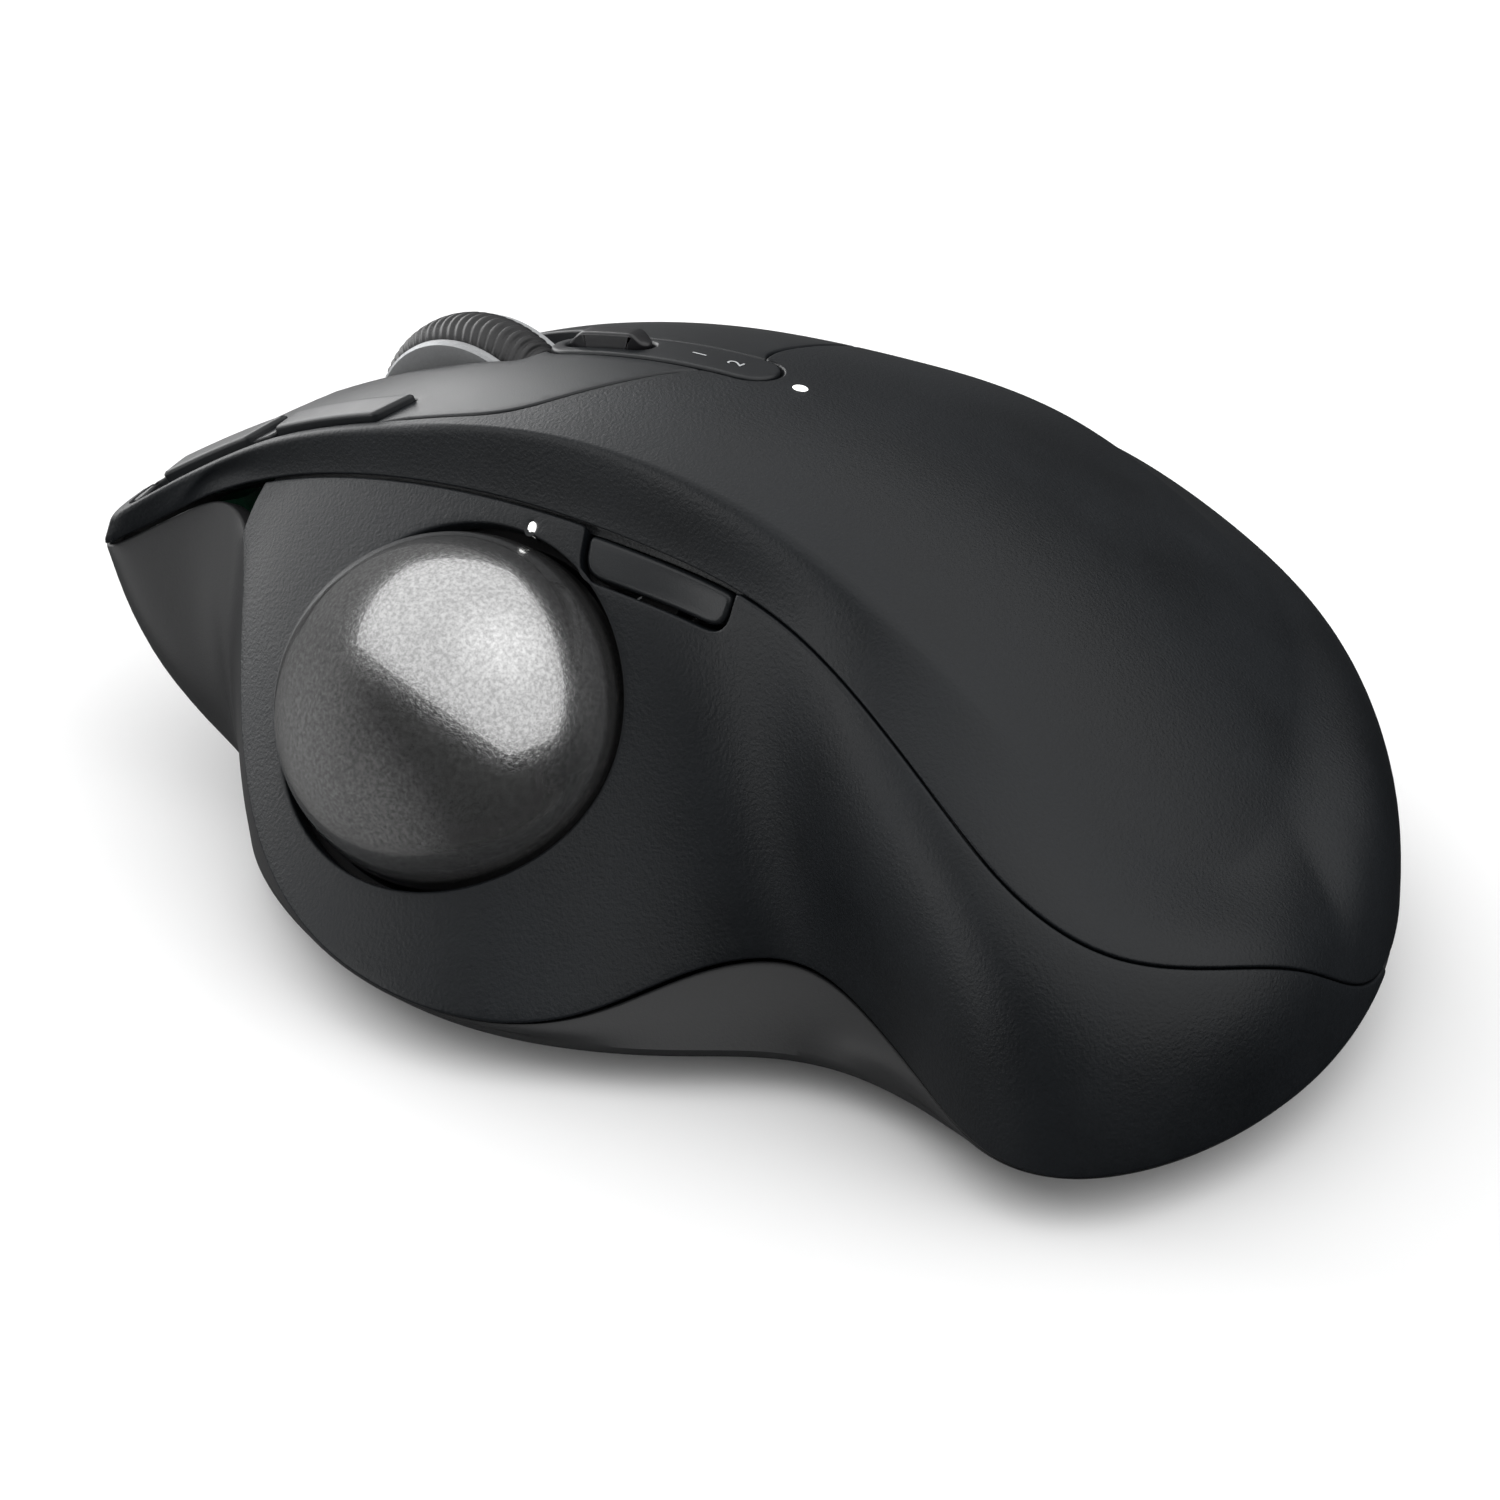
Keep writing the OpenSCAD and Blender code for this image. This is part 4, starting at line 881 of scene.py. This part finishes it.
def build_oval():
    outline = resample(stadium(OVAL_REAR, OVAL_FRONT, OVAL_R - 0.04), 0.4)
    hole = resample(stadium(DEVICE_REAR, DEVICE_FRONT, 1.5), 0.35)[::-1]
    q, f = fill(outline, [hole], 0.75)
    p, f = shell(on_top(q, 0.12), f, 1.8, 0.3)
    piece("oval_panel", p, f, "satin_plate", "body", ["device_panel"])
    axis = unit(DEVICE_FRONT - DEVICE_REAR)
    q, f = fill(resample(stadium(DEVICE_REAR, DEVICE_FRONT, 1.22), 0.25), [], 0.4, clear=0.42)
    along = (q - DEVICE_REAR) @ axis
    length = float(np.linalg.norm(DEVICE_FRONT - DEVICE_REAR))
    rise = 0.35 + 1.25 * smooth(np.minimum(along + 1.2, length + 1.2 - along) / 1.9)
    p, f = shell(on_top(q) + np.stack([0 * rise, 0 * rise, rise], -1), f, 2.6, 0.3, steps=5)
    piece("device_switch_cap", p, f, "satin_plate", "device_key", ["device_button"], "switch_plastic")
    for text, centre in (("1", (3.2, 15.7)), ("2", (3.35, 11.6))):
        p, f = digit(text, np.array(centre), 2.3)
        piece("numeral_" + text, p, f, "satin_plate", "body", (), "mark_ink")
    # the battery light in the palm cover
    a = np.linspace(0, 2 * math.pi, 28, endpoint=False)
    ring = np.array([3.3, 4.2]) + 0.78 * np.stack([np.cos(a), np.sin(a)], -1)
    q, f = fill(ring, [], 0.35)
    p, f = shell(on_top(q, 0.05), f, 1.5, 0.14)
    piece("battery_light", p, f, "white_lens", "body", ["battery_lens"])


# ---- the lower shell
def tub_rows(k):
    closed = smooth(lower_len(k) / 3)[:, None]
    edge = inward(loop(SKIRT, k), 0.1 + 0.35 * closed) - [0, 0, 0.2]
    b = loop(BASE, k)
    n = plan_normal(BASE, k)
    base = np.concatenate([b, (underside(b[:, 0]) + 1.2)[:, None]], -1)
    b2 = b - 1.2 * n
    low = np.concatenate([b2, underside(b2[:, 0])[:, None]], -1)
    ns = np.concatenate([plan_normal(SKIRT, k), np.zeros((len(k), 1))], -1)
    d = np.minimum(np.minimum(k % COUNT, COUNT - k % COUNT), np.abs(k % COUNT - 28.5))
    swell = (0.5 + 2.2 * smooth(1 - d / 4))[:, None]
    rows = [mix(edge, base, v) + ns * swell * math.sin(math.pi * v) for v in np.linspace(0, 1, 15)]
    corner = np.concatenate([b, underside(b[:, 0])[:, None]], -1)
    for t in np.linspace(0, 1, 6)[1:]:
        rows.append((1 - t) ** 2 * base + 2 * t * (1 - t) * corner + t**2 * low)
    return rows


HINGE_X, HINGE_YS, HINGE_SLOT = 21.718, (-26, 26), (6, 16.4)
SCREWS, SCREW_HOLE_R = [(-24, -46), (32, -20), (-24, 40), (30, 30)], 2.4


def build_lower():
    n = COUNT * 12
    k = np.arange(n) / 12
    rows = tub_rows(k)
    rim = rows[-1][:, :2]
    slot = np.array([(-1, -1), (1, -1), (1, 1), (-1, 1)]) * HINGE_SLOT / 2
    holes = [rounded(slot + [HINGE_X, y], 0.6) for y in HINGE_YS]
    a = np.linspace(0, 2 * math.pi, 32, endpoint=False)
    holes += [np.array(s) + SCREW_HOLE_R * np.stack([np.cos(a), np.sin(a)], -1) for s in SCREWS]
    holes = [resample(h, 0.7)[::-1] for h in holes]
    q, f = fill(rim, holes, 2.5, square=APEX_X)
    floor = np.concatenate([q, underside(q[:, 0])[:, None]], -1)
    m = len(rows)
    p = np.concatenate([np.concatenate(rows), floor[n:]])
    faces = grid_faces(m, n, wrap=True)
    start = (m - 1) * n
    faces += [tuple(start + i for i in reversed(t)) for t in f]
    if normals(p, faces)[5 * n + 3] @ [-1, 0, 0] < 0:
        faces = [t[::-1] for t in faces]
    p, faces = shell(p, faces, 2.0, 0.35, steps=3)
    piece("lower_cover", p, faces, "lower_plastic", "body", ["lower_shell"])


# ---- the ball and the wheel
def build_ball():
    """Rings of points around the pole that faces out of the ring, closer together than the eye sees."""
    rows, cols = 96, 192
    p, f = [BALL + BALL_AXIS * BALL_R], []
    for i in range(1, rows):
        a = math.pi * i / rows
        for j in range(cols):
            b = 2 * math.pi * j / cols
            p.append(BALL + BALL_R * (math.cos(a) * BALL_AXIS
                                      + math.sin(a) * (math.cos(b) * BALL_AX + math.sin(b) * BALL_AY)))
    p.append(BALL - BALL_AXIS * BALL_R)
    f += [(0, 1 + j, 1 + (j + 1) % cols) for j in range(cols)]
    for i in range(rows - 2):
        s = 1 + i * cols
        f += [(s + j, s + cols + j, s + cols + (j + 1) % cols, s + (j + 1) % cols) for j in range(cols)]
    s = 1 + (rows - 2) * cols
    f += [(s + j, len(p) - 1, s + (j + 1) % cols) for j in range(cols)]
    piece("thumb_ball", np.array(p), f, "ball", "ball", ["trackball"], sharp=180)


def turned(profile, cols, name, slot, body, nodes, ribs=None, sharp=30):
    """A closed profile of (radius, x) points turned about the wheel's axle.
    ribs(angle, point) may change a radius."""
    profile = np.array(profile, float)
    m = len(profile)
    a = np.linspace(0, 2 * math.pi, cols, endpoint=False)
    p = np.zeros((m, cols, 3))
    for i, (r, x) in enumerate(profile):
        radius = np.full(cols, r) if ribs is None else r + ribs(a, i)
        p[i] = np.stack([np.full(cols, WHEEL[0] + x), WHEEL[1] + radius * np.cos(a),
                         WHEEL[2] + radius * np.sin(a)], -1)
    f = []
    for i in range(m):
        for j in range(cols):
            n, o = (i + 1) % m, (j + 1) % cols
            f.append((i * cols + j, i * cols + o, n * cols + o, n * cols + j))
    p = p.reshape(-1, 3)
    if normals(p, f)[0] @ (p[0] - WHEEL) < 0 and profile[0][0] == profile[:, 0].max():
        f = [q[::-1] for q in f]
    piece(name, p, f, slot, body, nodes, sharp=sharp)


TYRE_R, TYRE_W, RIBS = 12.3, 6.2, 76
# how far the tyre falls towards its sides, how deep the ribs are and how far they slant, in radians
TYRE_CROWN, RIB_DEPTH, RIB_SLANT = 1.44, 0.3, 0.088


def build_wheel():
    half = TYRE_W / 2
    outer = [(TYRE_R - TYRE_CROWN * (1 - math.cos(t)), half * math.sin(t))
             for t in np.linspace(0, math.pi / 2, 9)]
    right = outer + [(TYRE_R - 1.9, half)]
    left = [(r, -x) for r, x in reversed(outer[1:])]
    profile = right + [(TYRE_R - 1.9, -half)] + left
    xs = np.array([x for _, x in profile])
    rs = np.array([r for r, _ in profile])

    def ribs(a, i):
        if rs[i] < TYRE_R - 1.8:
            return 0 * a
        slant = RIB_SLANT * math.cos(math.pi * xs[i] / (2 * half))
        wave = np.cos(RIBS * (a + slant))
        return -RIB_DEPTH * (0.5 - 0.5 * np.tanh(2.2 * (wave + 0.25)) / math.tanh(2.2))
    turned(profile, RIBS * 10, "tyre", "tyre_rubber", "wheel", ["wheel_tyre"], ribs, sharp=60)
    r = TYRE_R
    side = [(r - 1.9, 3.0), (r - 1.25, 3.15), (r - 1.25, 3.75), (r - 1.5, 4.0), (r - 2.0, 4.0),
            (r - 5.8, 3.35), (r - 6.3, 3.0), (r - 6.6, 1.8),
            (4.0, 1.6), (3.6, 2.0), (3.4, 3.4), (1.5, 3.4)]
    profile = side + [(rr, -x) for rr, x in reversed(side)]
    turned(profile, 192, "wheel_hub", "rim_metal", "wheel", ["wheel_rim"], sharp=25)


# ---------------------------------------------------------------- the other CAD nodes
def dress_cad():
    slots = {s["node"]: s["material_slot"] for s in frame["record"]["subparts"]}
    for name, ob in frame["nodes"].items():
        made = MATERIALS[slots[name]]
        if not ob.data.materials:
            ob.data.materials.append(made)
        for i in range(len(ob.data.materials)):
            ob.data.materials[i] = made


# ---------------------------------------------------------------- stage
# soft glows of the studio: azimuth, height, where the glow starts and is full, weak and full strength
GLOWS = ((75, 15, 0.2, 1.0, 0.012, 0.2), (-70, 62, 0.86, 0.99, 0.0, 0.5), (140, -32, 0.5, 1.0, 0.0, 0.18))


def direction(azimuth, height):
    az, el = math.radians(azimuth), math.radians(height)
    return math.cos(az) * math.cos(el), math.sin(az) * math.cos(el), math.sin(el)


def build_stage():
    me = bpy.data.meshes.new("floor")
    s = 6.0
    me.from_pydata([(-s, -s, 0), (s, -s, 0), (s, s, 0), (-s, s, 0)], [], [(0, 1, 2, 3)])
    ob = bpy.data.objects.new("floor", me)
    SCENE.collection.objects.link(ob)
    m, t, b = nodes_of("pale_floor")
    n = noise(t, 3.0)
    t.links.new(blended(t, n.outputs["Fac"], (0.9, 0.9, 0.9), (0.93, 0.93, 0.93)), b.inputs["Base Color"])
    b.inputs["Roughness"].default_value = 0.9
    b.inputs["Specular IOR Level"].default_value = 0.1
    me.materials.append(m)
    ob.visible_glossy = False
    world = bpy.data.worlds.new("studio")
    world.use_nodes = True
    t = world.node_tree
    co = t.nodes.new("ShaderNodeTexCoord")
    total = 0.0
    for azimuth, height, low, high, dark, bright in GLOWS:
        toward = t.nodes.new("ShaderNodeVectorMath")
        toward.operation = "DOT_PRODUCT"
        toward.inputs[1].default_value = direction(azimuth, height)
        t.links.new(co.outputs["Generated"], toward.inputs[0])
        add = t.nodes.new("ShaderNodeMath")
        add.operation = "ADD"
        t.links.new(ranged(t, toward.outputs["Value"], dark, bright, low, high), add.inputs[0])
        if total:
            t.links.new(total, add.inputs[1])
        else:
            add.inputs[1].default_value = 0.0
        total = add.outputs["Value"]
    t.links.new(total, t.nodes["Background"].inputs["Strength"])
    t.nodes["Background"].inputs["Color"].default_value = (1, 1, 1, 1)
    SCENE.world = world


def softbox(name, place, aim, size, power):
    li = bpy.data.lights.new(name, "AREA")
    li.shape, li.size, li.size_y, li.energy = "RECTANGLE", size[0], size[1], power
    ob = bpy.data.objects.new(name, li)
    SCENE.collection.objects.link(ob)
    ob.location = place
    ob.rotation_mode = "QUATERNION"
    ob.rotation_quaternion = (Vector(aim) - Vector(place)).to_track_quat("-Z", "Y")
    return ob


# the photo's view: the camera's place, the direction it looks in and its roll
CAMERA_AT = np.array([-361.9, -238.1, 286.9])
CAMERA_TURN, CAMERA_DIP, CAMERA_ROLL = 34.03, 32.36, math.radians(1.97)


def build_camera():
    cam = bpy.data.cameras.new("camera")
    ob = bpy.data.objects.new("camera", cam)
    SCENE.collection.objects.link(ob)
    cam.sensor_width = 36
    cam.lens = 126.8
    ahead = Vector(direction(CAMERA_TURN, -CAMERA_DIP))
    ob.location = CAMERA_AT * MM
    ob.rotation_mode = "QUATERNION"
    ob.rotation_quaternion = ahead.to_track_quat("-Z", "Y") @ Quaternion((0, 0, 1), CAMERA_ROLL)
    cam.clip_start, cam.clip_end = 0.01, 50
    SCENE.camera = ob


def build_lights():
    SCENE.view_settings.view_transform = "Standard"
    SCENE.view_settings.look = "None"
    softbox("overhead", (0.16, -0.25, 0.68), (0.16, 0.057, -0.32), (2.02, 4.1), 33)
    front = softbox("front", (0.2, 1.15, 0.34), (0.0, 0.0, 0.03), (1.45, 0.72), 15)
    side = softbox("side", (-1.15, 0.75, 0.3), (-0.03, 0.02, 0.03), (0.9, 0.5), 4.5)
    # the two low panels light the covers; the ball mirrors only the overhead one
    spared = bpy.data.collections.new("spared")
    spared.objects.link(bpy.data.objects["thumb_ball"])
    spared.collection_objects[0].light_linking.link_state = "EXCLUDE"
    for panel in (front, side):
        panel.light_linking.receiver_collection = spared


build_palm()
build_side()
build_precision_key()
build_left()
build_right()
build_bars()
build_oval()
build_lower()
build_ball()
build_wheel()
dress_cad()
build_stage()
build_camera()
build_lights()
